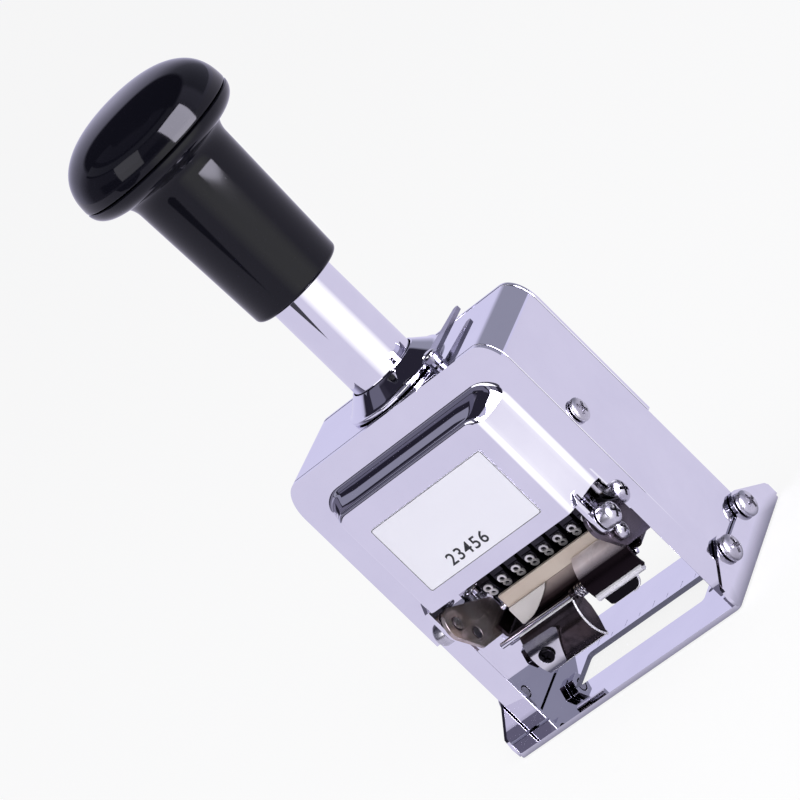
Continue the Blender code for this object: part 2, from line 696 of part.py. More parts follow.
def guides():
    made = []
    wall = CASE_HALF - CASE_SHEET - GAP
    for side, sign in sides():
        low, high = ordered(sign * SEAT_INNER_X, sign * wall)
        seat = box("spring_seat_" + side, (low, ROD_Y - SEAT_HALF_Y, SEAT_TOP - SEAT_THICKNESS),
                   (high, ROD_Y + SEAT_HALF_Y, SEAT_TOP), "steel")
        low, high = ordered(sign * (wall - SEAT_THICKNESS), sign * wall)
        join(seat, box("seat_leg_" + side, (low, ROD_Y - SEAT_HALF_Y, SEAT_TOP - SEAT_LEG),
                       (high, ROD_Y + SEAT_HALF_Y, SEAT_TOP - SEAT_THICKNESS / 2)))
        cut(seat, cylinder("seat_hole_" + side, ROD_RADIUS + GAP,
                           (sign * ROD_X, ROD_Y, SEAT_TOP - SEAT_THICKNESS - OVERRUN),
                           (sign * ROD_X, ROD_Y, SEAT_TOP + OVERRUN), SCREW_SIDES))
        made.append(seat)
        made.append(cylinder("guide_rod_" + side, ROD_RADIUS,
                             (sign * ROD_X, ROD_Y, SEAT_TOP - SEAT_THICKNESS * 2),
                             (sign * ROD_X, ROD_Y, CASE_TOP - CASE_SHEET - GAP), SCREW_SIDES, "steel"))
        made.append(spring_sleeve(side, sign))
    return made


def spring_sleeve(side, sign):
    low = SEAT_TOP + GAP
    high = crosshead_bottom() - GAP
    profile = [(SPRING_INNER, high), (SPRING_OUTER, high), (SPRING_OUTER, low), (SPRING_INNER, low),
               (SPRING_INNER, high)]
    return turned("main_spring_" + side, profile, (sign * ROD_X, ROD_Y, 0), (0, 0, 1), SCREW_SIDES, "steel")


# Plunger

def crosshead_top():
    return CASE_TOP - COLLAR_SPIGOT_DROP - GAP


def crosshead_bottom():
    return crosshead_top() - CROSSHEAD_THICKNESS


def crosshead():
    outline = rounded_box(-CROSSHEAD_HALF, CROSSHEAD_HALF, CROSSHEAD_FRONT, CROSSHEAD_BACK, CROSSHEAD_CORNER)
    holes = [circle(sign * ROD_X, ROD_Y, ROD_RADIUS + GAP, SCREW_SIDES) for _, sign in sides()]
    return plate("crosshead", "XY", [outline, *holes], crosshead_bottom(), crosshead_top(), "steel")


def stem():
    low = crosshead_top() + GAP
    profile = [(STEM_BORE, STEM_TOP), (STEM_RADIUS, STEM_TOP), (STEM_RADIUS, low), (STEM_BORE, low),
               (STEM_BORE, STEM_TOP)]
    return turned("stem", profile, (0, 0, 0), (0, 0, 1), ROUND_SIDES, "chrome")


def handle_neck():
    bore = STEM_RADIUS + GAP
    across = KNOB_RADIUS - KNOB_UNDER_RADIUS
    down = SEAM_Z - KNOB_UNDER_Z
    bowl = [(KNOB_UNDER_RADIUS + across * math.sin(a), SEAM_Z - down * math.cos(a))
            for a in np.radians(np.linspace(90, 0, BOWL_STEPS + 1))]
    profile = [(0, SEAM_Z), *bowl, (NECK_HIGH_RADIUS, NECK_TOP), (NECK_LOW_RADIUS, NECK_BOTTOM + OVERRUN),
               (NECK_LOW_RADIUS - GAP, NECK_BOTTOM), (bore, NECK_BOTTOM), (bore, STEM_TOP + GAP),
               (0, STEM_TOP + GAP)]
    return turned("handle_neck", profile, (0, 0, 0), (0, 0, 1), ROUND_SIDES, "gloss_black")


def knob_cap():
    low = SEAM_Z + GAP
    rise = KNOB_TOP - low
    dome = []
    for i in range(KNOB_RINGS + 1):
        a = math.radians(90 * i / KNOB_RINGS)
        dome.append((KNOB_RADIUS * math.sin(a) ** (2 / KNOB_POWER),
                     low + rise * math.cos(a) ** (2 / KNOB_POWER)))
    dome[0] = (0, KNOB_TOP)
    dome[-1] = (KNOB_RADIUS, low)
    return turned("knob_cap", [*dome, (0, low)], (0, 0, 0), (0, 0, 1), ROUND_SIDES, "gloss_black")


def shaft_z():
    return WHEEL_DROP + WHEEL_RADIUS


def wheel_plates():
    made = []
    for side, sign in sides():
        low, high = ordered(sign * PLATE_INNER, sign * (PLATE_INNER + PLATE_THICKNESS))
        lobe = arc(0, shaft_z(), PLATE_RADIUS, 180, 360, ARC_STEPS * 2)
        top = crosshead_bottom() - GAP
        outline = lobe + [(PLATE_RADIUS, top), (-PLATE_RADIUS, top)]
        bore = circle(0, shaft_z(), SHAFT_RADIUS + GAP, SCREW_SIDES)
        made.append(plate("wheel_plate_" + side, "YZ", [outline, bore], low, high, "steel"))
    return made


def wheel_shaft():
    """The shaft that the wheels turn on, riveted over outside the plates."""
    half = PLATE_INNER + PLATE_THICKNESS + GAP
    shaft = cylinder("wheel_shaft", SHAFT_RADIUS, (-half - SHAFT_HEAD / 2, 0, shaft_z()),
                     (half + SHAFT_HEAD / 2, 0, shaft_z()), SCREW_SIDES, "steel")
    for side, sign in sides():
        join(shaft, cylinder("shaft_head_" + side, SHAFT_HEAD_RADIUS, (sign * half, 0, shaft_z()),
                             (sign * (half + SHAFT_HEAD), 0, shaft_z()), SCREW_SIDES))
    return shaft


def wheel_outlines():
    """The figures' ring and the ratchet's ring; a figure stands straight down."""
    sector = 360 / FIGURES
    ring, ratchet = [], []
    for i in range(FIGURES):
        middle = sector * i - 90
        face = sector * FIGURE_SHARE / 2
        ring += arc(0, shaft_z(), WHEEL_RADIUS, middle - face, middle + face, 2)
        ring += arc(0, shaft_z(), WHEEL_ROOT, middle + face, middle + sector - face, 1)
        ratchet += [arc(0, shaft_z(), RATCHET_ROOT, middle, middle, 1)[0],
                    arc(0, shaft_z(), RATCHET_RADIUS, middle + sector - face, middle, 1)[0]]
    return ring, ratchet


def number_wheels():
    ring, ratchet = wheel_outlines()
    bore = circle(0, shaft_z(), SHAFT_RADIUS + GAP, SCREW_SIDES)
    made = []
    for i in range(WHEEL_COUNT):
        low = -STACK_HALF + WHEEL_PITCH * i + (WHEEL_PITCH - WHEEL_WIDTH - RATCHET_WIDTH) / 2
        wheel = plate(f"number_wheel_{i + 1}", "YZ", [ring, bore], low, low + WHEEL_WIDTH, "wheel_steel")
        join(wheel, plate(f"ratchet_{i + 1}", "YZ", [ratchet, bore], low + WHEEL_WIDTH - RATCHET_WIDTH / 2,
                          low + WHEEL_WIDTH + RATCHET_WIDTH))
        made.append(wheel)
    return made


def detent_comb():
    """A plate behind the wheels' tops with one finger for each wheel."""
    top = crosshead_bottom() - GAP
    outline = [(STACK_HALF, top), (-STACK_HALF, top), (-STACK_HALF, COMB_ROOT_Z)]
    for i in range(WHEEL_COUNT):
        left = -STACK_HALF + WHEEL_PITCH * i + COMB_SLOT / 2
        right = left + WHEEL_PITCH - COMB_SLOT
        outline += [(left, COMB_ROOT_Z), (left, COMB_LOW_Z), (right, COMB_LOW_Z), (right, COMB_ROOT_Z)]
    outline.append((STACK_HALF, COMB_ROOT_Z))
    return plate("detent_comb", "XZ", [outline], COMB_Y, COMB_Y + COMB_THICKNESS, "brass")


def pawl_carrier():
    """Two side arms and a rod behind the wheels, with one pawl for each wheel."""
    reach = (CARRIER_REACH * math.cos(math.radians(CARRIER_ROD_DEG)),
             shaft_z() + CARRIER_REACH * math.sin(math.radians(CARRIER_ROD_DEG)))
    inner = CARRIER_INNER
    carrier = cylinder("pawl_carrier", CARRIER_ROD_RADIUS, (-inner - CARRIER_ARM / 2, *reach),
                       (inner + CARRIER_ARM / 2, *reach), SCREW_SIDES, "steel")
    for side, sign in sides():
        low, high = ordered(sign * inner, sign * (inner + CARRIER_ARM))
        hub = arc(0, shaft_z(), CARRIER_RING, *CARRIER_HUB_DEG, ARC_STEPS)
        tip = arc(*reach, PAWL_ARM_HALF, *CARRIER_TIP_DEG, ARC_STEPS // 2)
        bore = circle(0, shaft_z(), SHAFT_RADIUS + GAP, SCREW_SIDES)
        join(carrier, plate("carrier_arm_" + side, "YZ", [hub + tip, bore], low, high))
    return carrier


# Ink pad bracket

def pad_arms():
    made = []
    for side, sign in sides():
        low, high = ordered(sign * ARM_INNER_X, sign * (ARM_INNER_X + ARM_THICKNESS))
        lobe = arc(PIVOT_Y, PIVOT_Z, ARM_PIVOT_RADIUS, *ARM_LOBE_DEG, ARC_STEPS)
        rest = [(ARM_KNEE_Y, ARM_KNEE_Z), (ARM_END_Y, ARM_END_LOW_Z), (ARM_END_Y, ARM_END_HIGH_Z)]
        bores = [circle(PIVOT_Y, PIVOT_Z, PIVOT_SHANK + GAP, SCREW_SIDES),
                 circle(ARM_SCREW_Y, ARM_SCREW_Z, SCREW_SHANK + GAP, SCREW_SIDES)]
        made.append(plate("pad_arm_" + side, "YZ", [lobe + rest, *bores], low, high, "bronze"))
        made.append(screw("arm_screw_" + side, ARM_SCREW_HEAD, ARM_SCREW_DOME, ARM_SCREW_REACH,
                          (sign * (ARM_INNER_X + ARM_THICKNESS + GAP), ARM_SCREW_Y, ARM_SCREW_Z),
                          (sign, 0, 0), "dark_steel"))
    return made


def pivot_screws():
    """Root pieces: the bracket swings on their shanks."""
    made = []
    for side, sign in sides():
        head = sign * (LUG_INNER_X + LUG_THICKNESS + GAP)
        rim = PIVOT_HEAD_LENGTH * RIM_SHARE
        reach = LUG_THICKNESS + ARM_THICKNESS + GAP * 3
        profile = [(0, PIVOT_HEAD_LENGTH), (PIVOT_HEAD / 2, PIVOT_HEAD_LENGTH),
                   (PIVOT_HEAD, PIVOT_HEAD_LENGTH - rim / 2), (PIVOT_HEAD, 0),
                   (PIVOT_SHANK, 0), (PIVOT_SHANK, -reach), (0, -reach)]
        made.append(turned("pivot_screw_" + side, profile, (head, PIVOT_Y, PIVOT_Z), (sign, 0, 0),
                           SCREW_SIDES, "chrome"))
    return made


def pad_tray():
    half = ARM_INNER_X - GAP
    line = [(-half + TRAY_SHEET / 2, TRAY_WALL_Z), (-half + TRAY_SHEET / 2, TRAY_FLOOR_Z + TRAY_SHEET / 2),
            (half - TRAY_SHEET / 2, TRAY_FLOOR_Z + TRAY_SHEET / 2), (half - TRAY_SHEET / 2, TRAY_WALL_Z)]
    tray = plate("pad_tray", "XZ", [ribbon(line, TRAY_SHEET)], TRAY_FRONT, TRAY_BACK, "dark_bronze")
    join(tray, box("tray_back",
                   (-half + TRAY_SHEET / 2, TRAY_BACK - TRAY_SHEET, TRAY_FLOOR_Z + TRAY_SHEET / 2),
                   (half - TRAY_SHEET / 2, TRAY_BACK, TRAY_WALL_Z)))
    return tray


def pad_frame():
    """The cream frame: a front wall in front of the tray, and a floor on the tray."""
    floor = TRAY_FLOOR_Z + TRAY_SHEET + GAP
    line = [(FRAME_FRONT + FRAME_SHEET / 2, FRAME_FRONT_TOP),
            (FRAME_FRONT + FRAME_SHEET / 2, floor + FRAME_SHEET / 2), (FELT_BACK, floor + FRAME_SHEET / 2)]
    return plate("pad_frame", "YZ", [ribbon(line, FRAME_SHEET)], -FRAME_HALF, FRAME_HALF, "cream")


def ink_felt():
    low = TRAY_FLOOR_Z + TRAY_SHEET + GAP + FRAME_SHEET + GAP
    high = WHEEL_DROP - GAP
    outline = rounded_box(-FELT_HALF, FELT_HALF, FELT_FRONT, FELT_BACK, FELT_EDGE)
    return plate("ink_felt", "XY", [outline], low, high, "felt")


def frame_tongue():
    high = FRAME_FRONT - GAP
    outline = rounded_box(TONGUE_LEFT, TONGUE_RIGHT, TONGUE_LOW, TONGUE_HIGH, TONGUE_CORNER)
    return plate("frame_tongue", "XZ", [outline], high - TONGUE_THICKNESS, high, "cream")


def tray_hood():
    middle = HOOD_RADIUS - HOOD_SHEET / 2
    bend = arc(HOOD_CENTRE_Y, HOOD_CENTRE_Z, middle, HOOD_FROM_DEG, HOOD_TO_DEG, ARC_STEPS)
    line = [(FRAME_FRONT - GAP, bend[0][1])] + bend
    return plate("tray_hood", "YZ", [ribbon(line, HOOD_SHEET)], HOOD_LEFT, ARM_INNER_X - GAP, "bronze")


def latch_pin():
    half = ARM_INNER_X - GAP
    return cylinder("latch_pin", LATCH_RADIUS, (-half, LATCH_Y, LATCH_Z), (half, LATCH_Y, LATCH_Z),
                    SCREW_SIDES, "steel")


def under_floor():
    return TRAY_FLOOR_Z - GAP


def tray_grip():
    middle = GRIP_RADIUS - GRIP_SHEET / 2
    bend = arc(GRIP_CENTRE_Y, GRIP_CENTRE_Z, middle, GRIP_FROM_DEG, GRIP_TO_DEG, ARC_STEPS + 2)
    grip = plate("tray_grip", "YZ", [ribbon(bend, GRIP_SHEET)], GRIP_LEFT, GRIP_RIGHT, "bronze")
    rise = math.asin((under_floor() - GRIP_SHEET / 2 - GRIP_CENTRE_Z) / middle)
    meets = GRIP_CENTRE_Y - middle * math.cos(rise)
    join(grip, box("grip_flange", (GRIP_LEFT, meets, under_floor() - GRIP_SHEET),
                   (GRIP_RIGHT, GRIP_FLANGE_BACK, under_floor())))
    cut(grip, grip_bore("grip_bore"))
    return grip


def grip_direction():
    angle = math.radians(GRIP_SCREW_DEG)
    return Vector((0, math.cos(angle), math.sin(angle)))


def grip_bore(name):
    centre = Vector((GRIP_SCREW_X, GRIP_CENTRE_Y, GRIP_CENTRE_Z))
    out = grip_direction()
    return cylinder(name, SCREW_SHANK + GAP, centre + out * (GRIP_RADIUS - OVERRUN),
                    centre + out * (GRIP_RADIUS + OVERRUN), SCREW_SIDES)


def grip_plate():
    middle = GRIP_RADIUS + GAP + GRIP_PLATE_THICKNESS / 2
    bend = arc(GRIP_CENTRE_Y, GRIP_CENTRE_Z, middle, GRIP_PLATE_FROM_DEG, GRIP_PLATE_TO_DEG, ARC_STEPS)
    worn = plate("grip_plate", "YZ", [ribbon(bend, GRIP_PLATE_THICKNESS)], GRIP_PLATE_LEFT, GRIP_PLATE_RIGHT,
                 "steel")
    cut(worn, grip_bore("grip_plate_bore"))
    return worn


def grip_screw():
    out = grip_direction()
    seat = GRIP_RADIUS + GAP * 3 + GRIP_PLATE_THICKNESS
    place = Vector((GRIP_SCREW_X, GRIP_CENTRE_Y, GRIP_CENTRE_Z)) + out * seat
    return screw("grip_screw", GRIP_SCREW_HEAD, GRIP_SCREW_DOME, GRIP_SCREW_REACH, place, out, "steel")


def release_tab():
    high = TAB_FRONT + TAB_SHEET
    top = under_floor()
    bend = arc(TAB_CENTRE_X, TAB_CENTRE_Z, TAB_RADIUS, *TAB_ROUND_DEG, ARC_STEPS)
    outline = bend + [(TAB_CENTRE_X, top), (TAB_LEFT, top), (TAB_LEFT, TAB_CENTRE_Z - TAB_RADIUS)]
    tab = plate("release_tab", "XZ", [outline], TAB_FRONT, high, "dark_steel")
    join(tab, box("tab_stem", (TAB_LEFT, high - TAB_SHEET / 2, top - TAB_SHEET),
                  (TAB_CENTRE_X, TAB_STEM_BACK, top)))
    return tab


def latch_spring():
    """A small coil round the latch pin, with real curls."""
    count = HOOK_CURLS * HOOK_POINTS
    points = []
    for i in range(count + 1):
        a = math.tau * i / HOOK_POINTS
        points.append((HOOK_LEFT + HOOK_PITCH * i / HOOK_POINTS, LATCH_Y + HOOK_RADIUS * math.cos(a),
                       LATCH_Z + HOOK_RADIUS * math.sin(a)))
    nearest = min((Vector(points[i]) - Vector(points[i + HOOK_POINTS])).length
                  for i in range(count + 1 - HOOK_POINTS))
    print(f"latch_spring: {HOOK_CURLS} curls, least gap to itself {(nearest - HOOK_WIRE * 2) * 1000:.2f} mm")
    curve = bpy.data.curves.new("latch_spring", "CURVE")
    curve.dimensions = "3D"
    curve.bevel_depth = HOOK_WIRE
    curve.bevel_resolution = 1
    curve.use_fill_caps = True
    spline = curve.splines.new("POLY")
    spline.points.add(count)
    for point, place in zip(spline.points, points):
        point.co = (*place, 1)
    return as_mesh(add_object("latch_spring", curve), "latch_spring", "steel")


def carried(name, place, pieces, parent=None):
    """An empty on a joint's axis that carries the pieces of one moving body."""
    axis = bpy.data.objects.new(name, None)
    bpy.data.collections[PARTS].objects.link(axis)
    axis.location = place
    if parent:
        axis.parent = parent
    bpy.context.view_layer.update()
    for piece in pieces:
        piece.parent = axis
        piece.matrix_parent_inverse = axis.matrix_world.inverted()
    return axis


def build():
    foot()
    foot_fasteners()
    case_shell()
    front_cover()
    label_plate()
    back_cover()
    back_screws()
    side_screws()
    collar()
    carried("lever_axis", (LEVER_X, LEVER_Y, CASE_TOP), [lock_lever()])
    lever_rivet()
    guides()
    pivot_screws()
    plunger = carried("plunger_axis", (0, 0, 0), [crosshead(), stem(), handle_neck(), knob_cap(),
                                                  wheel_shaft(), detent_comb(), *wheel_plates()])
    for i, wheel in enumerate(number_wheels()):
        carried(f"wheel_axis_{i + 1}", (0, 0, shaft_z()), [wheel], plunger)
    carried("pawl_axis", (0, 0, shaft_z()), [pawl_carrier()], plunger)
    carried("pad_axis", (0, PIVOT_Y, PIVOT_Z),
            [*pad_arms(), pad_tray(), pad_frame(), ink_felt(), frame_tongue(), tray_hood(), latch_pin(),
             tray_grip(), grip_plate(), grip_screw(), release_tab(), latch_spring()])


clear_scene()
collection(PARTS, True)
collection(CUTTERS, False)
FINISHES = {
    "chrome": material("chrome", (0.72, 0.72, 0.73), 1.0, 0.12),
    "steel": material("steel", (0.52, 0.51, 0.50), 1.0, 0.28),
    "dark_steel": material("dark_steel", (0.09, 0.09, 0.10), 0.9, 0.35),
    "wheel_steel": material("wheel_steel", (0.20, 0.19, 0.19), 0.9, 0.35),
    "bronze": material("bronze", (0.55, 0.40, 0.33), 0.9, 0.35),
    "dark_bronze": material("dark_bronze", (0.16, 0.11, 0.09), 0.8, 0.45),
    "brass": material("brass", (0.70, 0.52, 0.25), 1.0, 0.30),
    "cream": material("cream", (0.72, 0.62, 0.50), 0.0, 0.45),
    "felt": material("felt", (0.05, 0.04, 0.10), 0.0, 0.95),
    "label": material("label", (0.70, 0.69, 0.66), 0.3, 0.35),
    "gloss_black": material("gloss_black", (0.01, 0.01, 0.012), 0.0, 0.08),
}
build()
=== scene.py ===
import json
import math

import bmesh
import bpy
from mathutils import Matrix, Vector


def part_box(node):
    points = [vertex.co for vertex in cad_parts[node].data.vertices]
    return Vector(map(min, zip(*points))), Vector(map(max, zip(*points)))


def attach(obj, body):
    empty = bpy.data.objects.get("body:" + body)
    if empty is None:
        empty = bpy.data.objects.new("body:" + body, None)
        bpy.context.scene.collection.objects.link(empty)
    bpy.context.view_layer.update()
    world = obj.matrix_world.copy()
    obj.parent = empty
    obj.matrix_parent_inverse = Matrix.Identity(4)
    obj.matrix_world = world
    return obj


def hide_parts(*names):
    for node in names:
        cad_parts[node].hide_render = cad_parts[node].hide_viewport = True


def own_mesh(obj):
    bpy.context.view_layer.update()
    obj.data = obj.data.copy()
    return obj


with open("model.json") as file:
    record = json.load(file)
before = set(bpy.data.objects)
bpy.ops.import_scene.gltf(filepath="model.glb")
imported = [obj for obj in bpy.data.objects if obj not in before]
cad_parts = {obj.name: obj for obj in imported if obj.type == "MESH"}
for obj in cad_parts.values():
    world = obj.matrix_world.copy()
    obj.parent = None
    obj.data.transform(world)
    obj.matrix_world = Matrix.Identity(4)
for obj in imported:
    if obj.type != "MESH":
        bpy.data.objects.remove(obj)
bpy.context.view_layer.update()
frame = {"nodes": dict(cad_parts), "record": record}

print("frame loaded:", len(frame["nodes"]), "nodes")

mm = 0.001
tiny = 0.0000001  # welds points that are the same
fit = 0.3 * mm  # room between pieces that fit together
drillReach = 3 * mm
nearlyFlat = math.radians(0.1)  # faces that meet below this angle become one


# Shader writing: an expression on Sock values adds the nodes it needs

class Sock:
    def __init__(self, shade, link):
        self.shade = shade
        self.link = link

    def maths(self, operation, first, second):
        return self.shade.add("ShaderNodeMath", {"operation": operation}, {0: first, 1: second})

    def __add__(self, other):
        return self.maths("ADD", self, other)

    def __radd__(self, other):
        return self.maths("ADD", other, self)

    def __sub__(self, other):
        return self.maths("SUBTRACT", self, other)

    def __rsub__(self, other):
        return self.maths("SUBTRACT", other, self)

    def __mul__(self, other):
        return self.maths("MULTIPLY", self, other)

    def __rmul__(self, other):
        return self.maths("MULTIPLY", other, self)


class Shade:
    def __init__(self, name, world=False):
        if world:
            self.data = bpy.data.worlds.new(name)
        else:
            self.data = bpy.data.materials.new(name)
        self.data.use_nodes = True
        self.tree = self.data.node_tree
        self.tree.nodes.clear()

    def add(self, kind, settings=None, inputs=None, output=0):
        made = self.tree.nodes.new(kind)
        for key, value in (settings or {}).items():
            setattr(made, key, value)
        for key, value in (inputs or {}).items():
            self.feed(made.inputs[key], value)
        return Sock(self, made.outputs[output]) if len(made.outputs) else None

    def feed(self, socket, value):
        if isinstance(value, Sock):
            self.tree.links.new(value.link, socket)
        elif hasattr(socket.default_value, "__len__") and len(socket.default_value) == 4:
            socket.default_value = (*value, 1)
        else:
            socket.default_value = value

    def place(self):
        return self.add("ShaderNodeTexCoord", output=3)  # object coordinates, in metres

    def split(self, vector):
        node = self.add("ShaderNodeSeparateXYZ", {}, {0: vector}).link.node
        return [Sock(self, out) for out in node.outputs]

    def noise(self, scale, detail=3.0, rough=0.55, stretch=(1, 1, 1)):
        where = self.add("ShaderNodeVectorMath", {"operation": "MULTIPLY"}, {0: self.place(), 1: stretch})
        return self.add("ShaderNodeTexNoise", {}, {"Vector": where, "Scale": scale, "Detail": detail,
                                                   "Roughness": rough})

    def spread(self, value, low, high, toLow=0.0, toHigh=1.0):
        return self.add("ShaderNodeMapRange", {}, {0: value, 1: low, 2: high, 3: toLow, 4: toHigh})

    def mix(self, factor, first, second):
        return self.add("ShaderNodeMix", {"data_type": "RGBA"}, {0: factor, 6: first, 7: second}, 2)

    def bump(self, height, depth, strength=1.0):
        return self.add("ShaderNodeBump", {}, {"Height": height, "Distance": depth, "Strength": strength})

    def surface(self, inputs):
        shader = self.add("ShaderNodeBsdfPrincipled", {}, inputs)
        self.add("ShaderNodeOutputMaterial", {}, {0: shader})
        return self.data


# Finishes: a size is a noise's scale, a spread its darkest and brightest value, a depth is in metres

chromeLook = {"colour": (0.83, 0.82, 0.87), "worn": (0.78, 0.77, 0.83), "rough": 0.012, "smudge": 0.030,
              "smudgeSize": 55, "smudgeSpread": (0.35, 0.72), "hairSize": 900, "hairLength": 0.06,
              "hairSpread": (0.60, 0.75), "ripple": 0.000006, "rippleSize": 60}


def chromeFinish(name, look):
    shade = Shade(name)
    cloud = shade.spread(shade.noise(look["smudgeSize"], 5, 0.6), *look["smudgeSpread"])
    hair = shade.spread(shade.noise(look["hairSize"], 2, 0.7, (1, look["hairLength"], 1)), *look["hairSpread"])
    wave = shade.noise(look["rippleSize"], 1, 0.4)
    return shade.surface({
        "Base Color": shade.mix(cloud, look["colour"], look["worn"]), "Metallic": 1.0,
        "Roughness": look["rough"] + cloud * look["smudge"] + hair * (look["smudge"] / 2),
        "Normal": shade.bump(wave, look["ripple"]),
    })


steelWear = {"drawnSize": 700, "drawnRough": 0.06, "drawnDepth": 0.00001, "drawnStrength": 0.4,
             "stainSize": 140, "stainSpread": (0.42, 0.70), "stainRough": 0.10}
steelLook = {"colour": (0.74, 0.73, 0.73), "dark": (0.58, 0.57, 0.58), "rough": 0.07, "metal": 1.0}
screwLook = {"colour": (0.64, 0.63, 0.66), "dark": (0.40, 0.39, 0.41), "rough": 0.20, "metal": 1.0}
bladeLook = {"colour": (0.30, 0.29, 0.37), "dark": (0.14, 0.13, 0.18), "rough": 0.09, "metal": 1.0}
# the rims are pale and mostly matt, so that they show as painted highlight lines
highlightRimLook = {"colour": (0.86, 0.85, 0.89), "dark": (0.66, 0.65, 0.69), "rough": 0.22, "metal": 0.35}
# the figures are pale and half matt, so that they show as bright specks: their bare steel, partly painted highlight
figureLook = {"colour": (0.82, 0.80, 0.81), "dark": (0.40, 0.38, 0.40), "rough": 0.20, "metal": 0.45}
brassLook = {"colour": (0.70, 0.52, 0.25), "dark": (0.40, 0.27, 0.11), "rough": 0.22, "metal": 1.0}


def steelFinish(name, look):
    shade = Shade(name)
    drawn = shade.noise(steelWear["drawnSize"], 4, 0.6)
    stain = shade.spread(shade.noise(steelWear["stainSize"], 4, 0.6), *steelWear["stainSpread"])
    return shade.surface({
        "Base Color": shade.mix(stain, look["colour"], look["dark"]), "Metallic": look["metal"],
        "Roughness": look["rough"] + drawn * steelWear["drawnRough"] + stain * steelWear["stainRough"],
        "Normal": shade.bump(drawn, steelWear["drawnDepth"], steelWear["drawnStrength"]),
    })


# where a look has fadeFrom and fadeTo, in metres over the foot, bronze is painted darkest below fadeTo and lightest
# above fadeFrom: painted shade and light by height
bronzeWear = {"patchSize": 110, "patchSpread": (0.40, 0.62), "patchRough": 0.05, "sootSize": 260,
              "sootSpread": (0.56, 0.78), "sootShift": 0.3, "sootLeft": 0.3, "sootRough": 0.12, "grainSize": 1200,
              "grainDepth": 0.00001}
bronzeLook = {"light": (0.52, 0.46, 0.46), "warm": (0.40, 0.31, 0.29), "dark": (0.13, 0.10, 0.10),
              "rough": 0.14, "metal": 0.72}
sootLook = {"light": (0.070, 0.055, 0.062), "warm": (0.050, 0.036, 0.038), "dark": (0.014, 0.010, 0.013),
            "rough": 0.10, "metal": 0.85, "sootAndShade": 0.3}
# the hood's colour is painted light and nearly matt on top, where a highlight falls, and painted dark below: painted
# highlight and painted shade
hoodLook = {"light": (0.80, 0.72, 0.75), "warm": (0.66, 0.54, 0.55), "dark": (0.012, 0.008, 0.010),
            "rough": 0.14, "metal": 0.12, "fadeFrom": 25.4 * mm, "fadeTo": 23.4 * mm}
# the dark bronze sheet under the cream wall is painted shade, darker towards the bottom
shadeSheetLook = {"light": (0.42, 0.35, 0.30), "warm": (0.36, 0.28, 0.24), "dark": (0.055, 0.038, 0.036),
             "rough": 0.30, "metal": 0.30, "fadeFrom": 26.2 * mm, "fadeTo": 23.0 * mm}
# a darker copy of the bronze for the right arm: painted shade
shadedArmLook = {"light": (0.15, 0.13, 0.16), "warm": (0.11, 0.085, 0.10), "dark": (0.035, 0.028, 0.034),
           "rough": 0.16, "metal": 0.80}


def bronzeFinish(name, look):
    shade = Shade(name)
    patch = shade.spread(shade.noise(bronzeWear["patchSize"], 4, 0.55), *bronzeWear["patchSpread"])
    shift = look.get("sootAndShade", 0) * bronzeWear["sootShift"]
    sootFrom, sootTo = bronzeWear["sootSpread"]
    sootAndShade = shade.spread(shade.noise(bronzeWear["sootSize"], 5, 0.65), sootFrom - shift, sootTo - shift)
    metal = look["metal"]
    # painted light and shade by height: towards fadeTo the colour goes to the dark tone and full metal, and only a
    # share of the soot is kept
    if "fadeFrom" in look:
        height = shade.split(shade.place())[2]
        paintedShade = shade.spread(height, look["fadeTo"], look["fadeFrom"], 1.0, 0.0)
        sootAndShade = paintedShade + (1 - paintedShade) * sootAndShade * bronzeWear["sootLeft"]
        metal = paintedShade * (1 - metal) + metal
    return shade.surface({
        "Base Color": shade.mix(sootAndShade, shade.mix(patch, look["light"], look["warm"]), look["dark"]),
        "Metallic": metal,
        "Roughness": look["rough"] + sootAndShade * bronzeWear["sootRough"] + patch * bronzeWear["patchRough"],
        "Normal": shade.bump(shade.noise(bronzeWear["grainSize"], 3), bronzeWear["grainDepth"]),
    })


darkWear = {"grainSize": 900, "grainRough": 0.10, "grainDepth": 0.00002, "grainStrength": 0.5, "rubSize": 210,
            "rubSpread": (0.60, 0.80), "rubShine": 0.05, "rubGain": 2.2, "rubLift": 0.008}
wheelLacquerLook = {"colour": (0.028, 0.026, 0.032), "rough": 0.20, "metal": 0.9}
darkSteelLook = {"colour": (0.010, 0.009, 0.011), "rough": 0.20, "metal": 1.0}
inkLook = {"colour": (0.016, 0.016, 0.020), "rough": 0.40, "metal": 0.0}


def darkFinish(name, look):
    shade = Shade(name)
    grain = shade.noise(darkWear["grainSize"], 4, 0.6)
    rub = shade.spread(shade.noise(darkWear["rubSize"], 4, 0.6), *darkWear["rubSpread"])
    lighter = tuple(min(1, channel * darkWear["rubGain"] + darkWear["rubLift"]) for channel in look["colour"])
    return shade.surface({
        "Base Color": shade.mix(rub, look["colour"], lighter), "Metallic": look["metal"],
        "Roughness": look["rough"] + grain * darkWear["grainRough"] - rub * darkWear["rubShine"],
        "Normal": shade.bump(grain, darkWear["grainDepth"], darkWear["grainStrength"]),
    })


mouldedWear = {"toneSize": 90, "toneSpread": (0.35, 0.70), "toneRough": 0.10, "poreSize": 1500,
               "poreDepth": 0.00002, "poreStrength": 0.5}
creamLook = {"colour": (0.68, 0.58, 0.50), "tone": (0.58, 0.48, 0.41), "rough": 0.30}
paleLook = {"colour": (0.66, 0.62, 0.61), "tone": (0.58, 0.54, 0.53), "rough": 0.26}


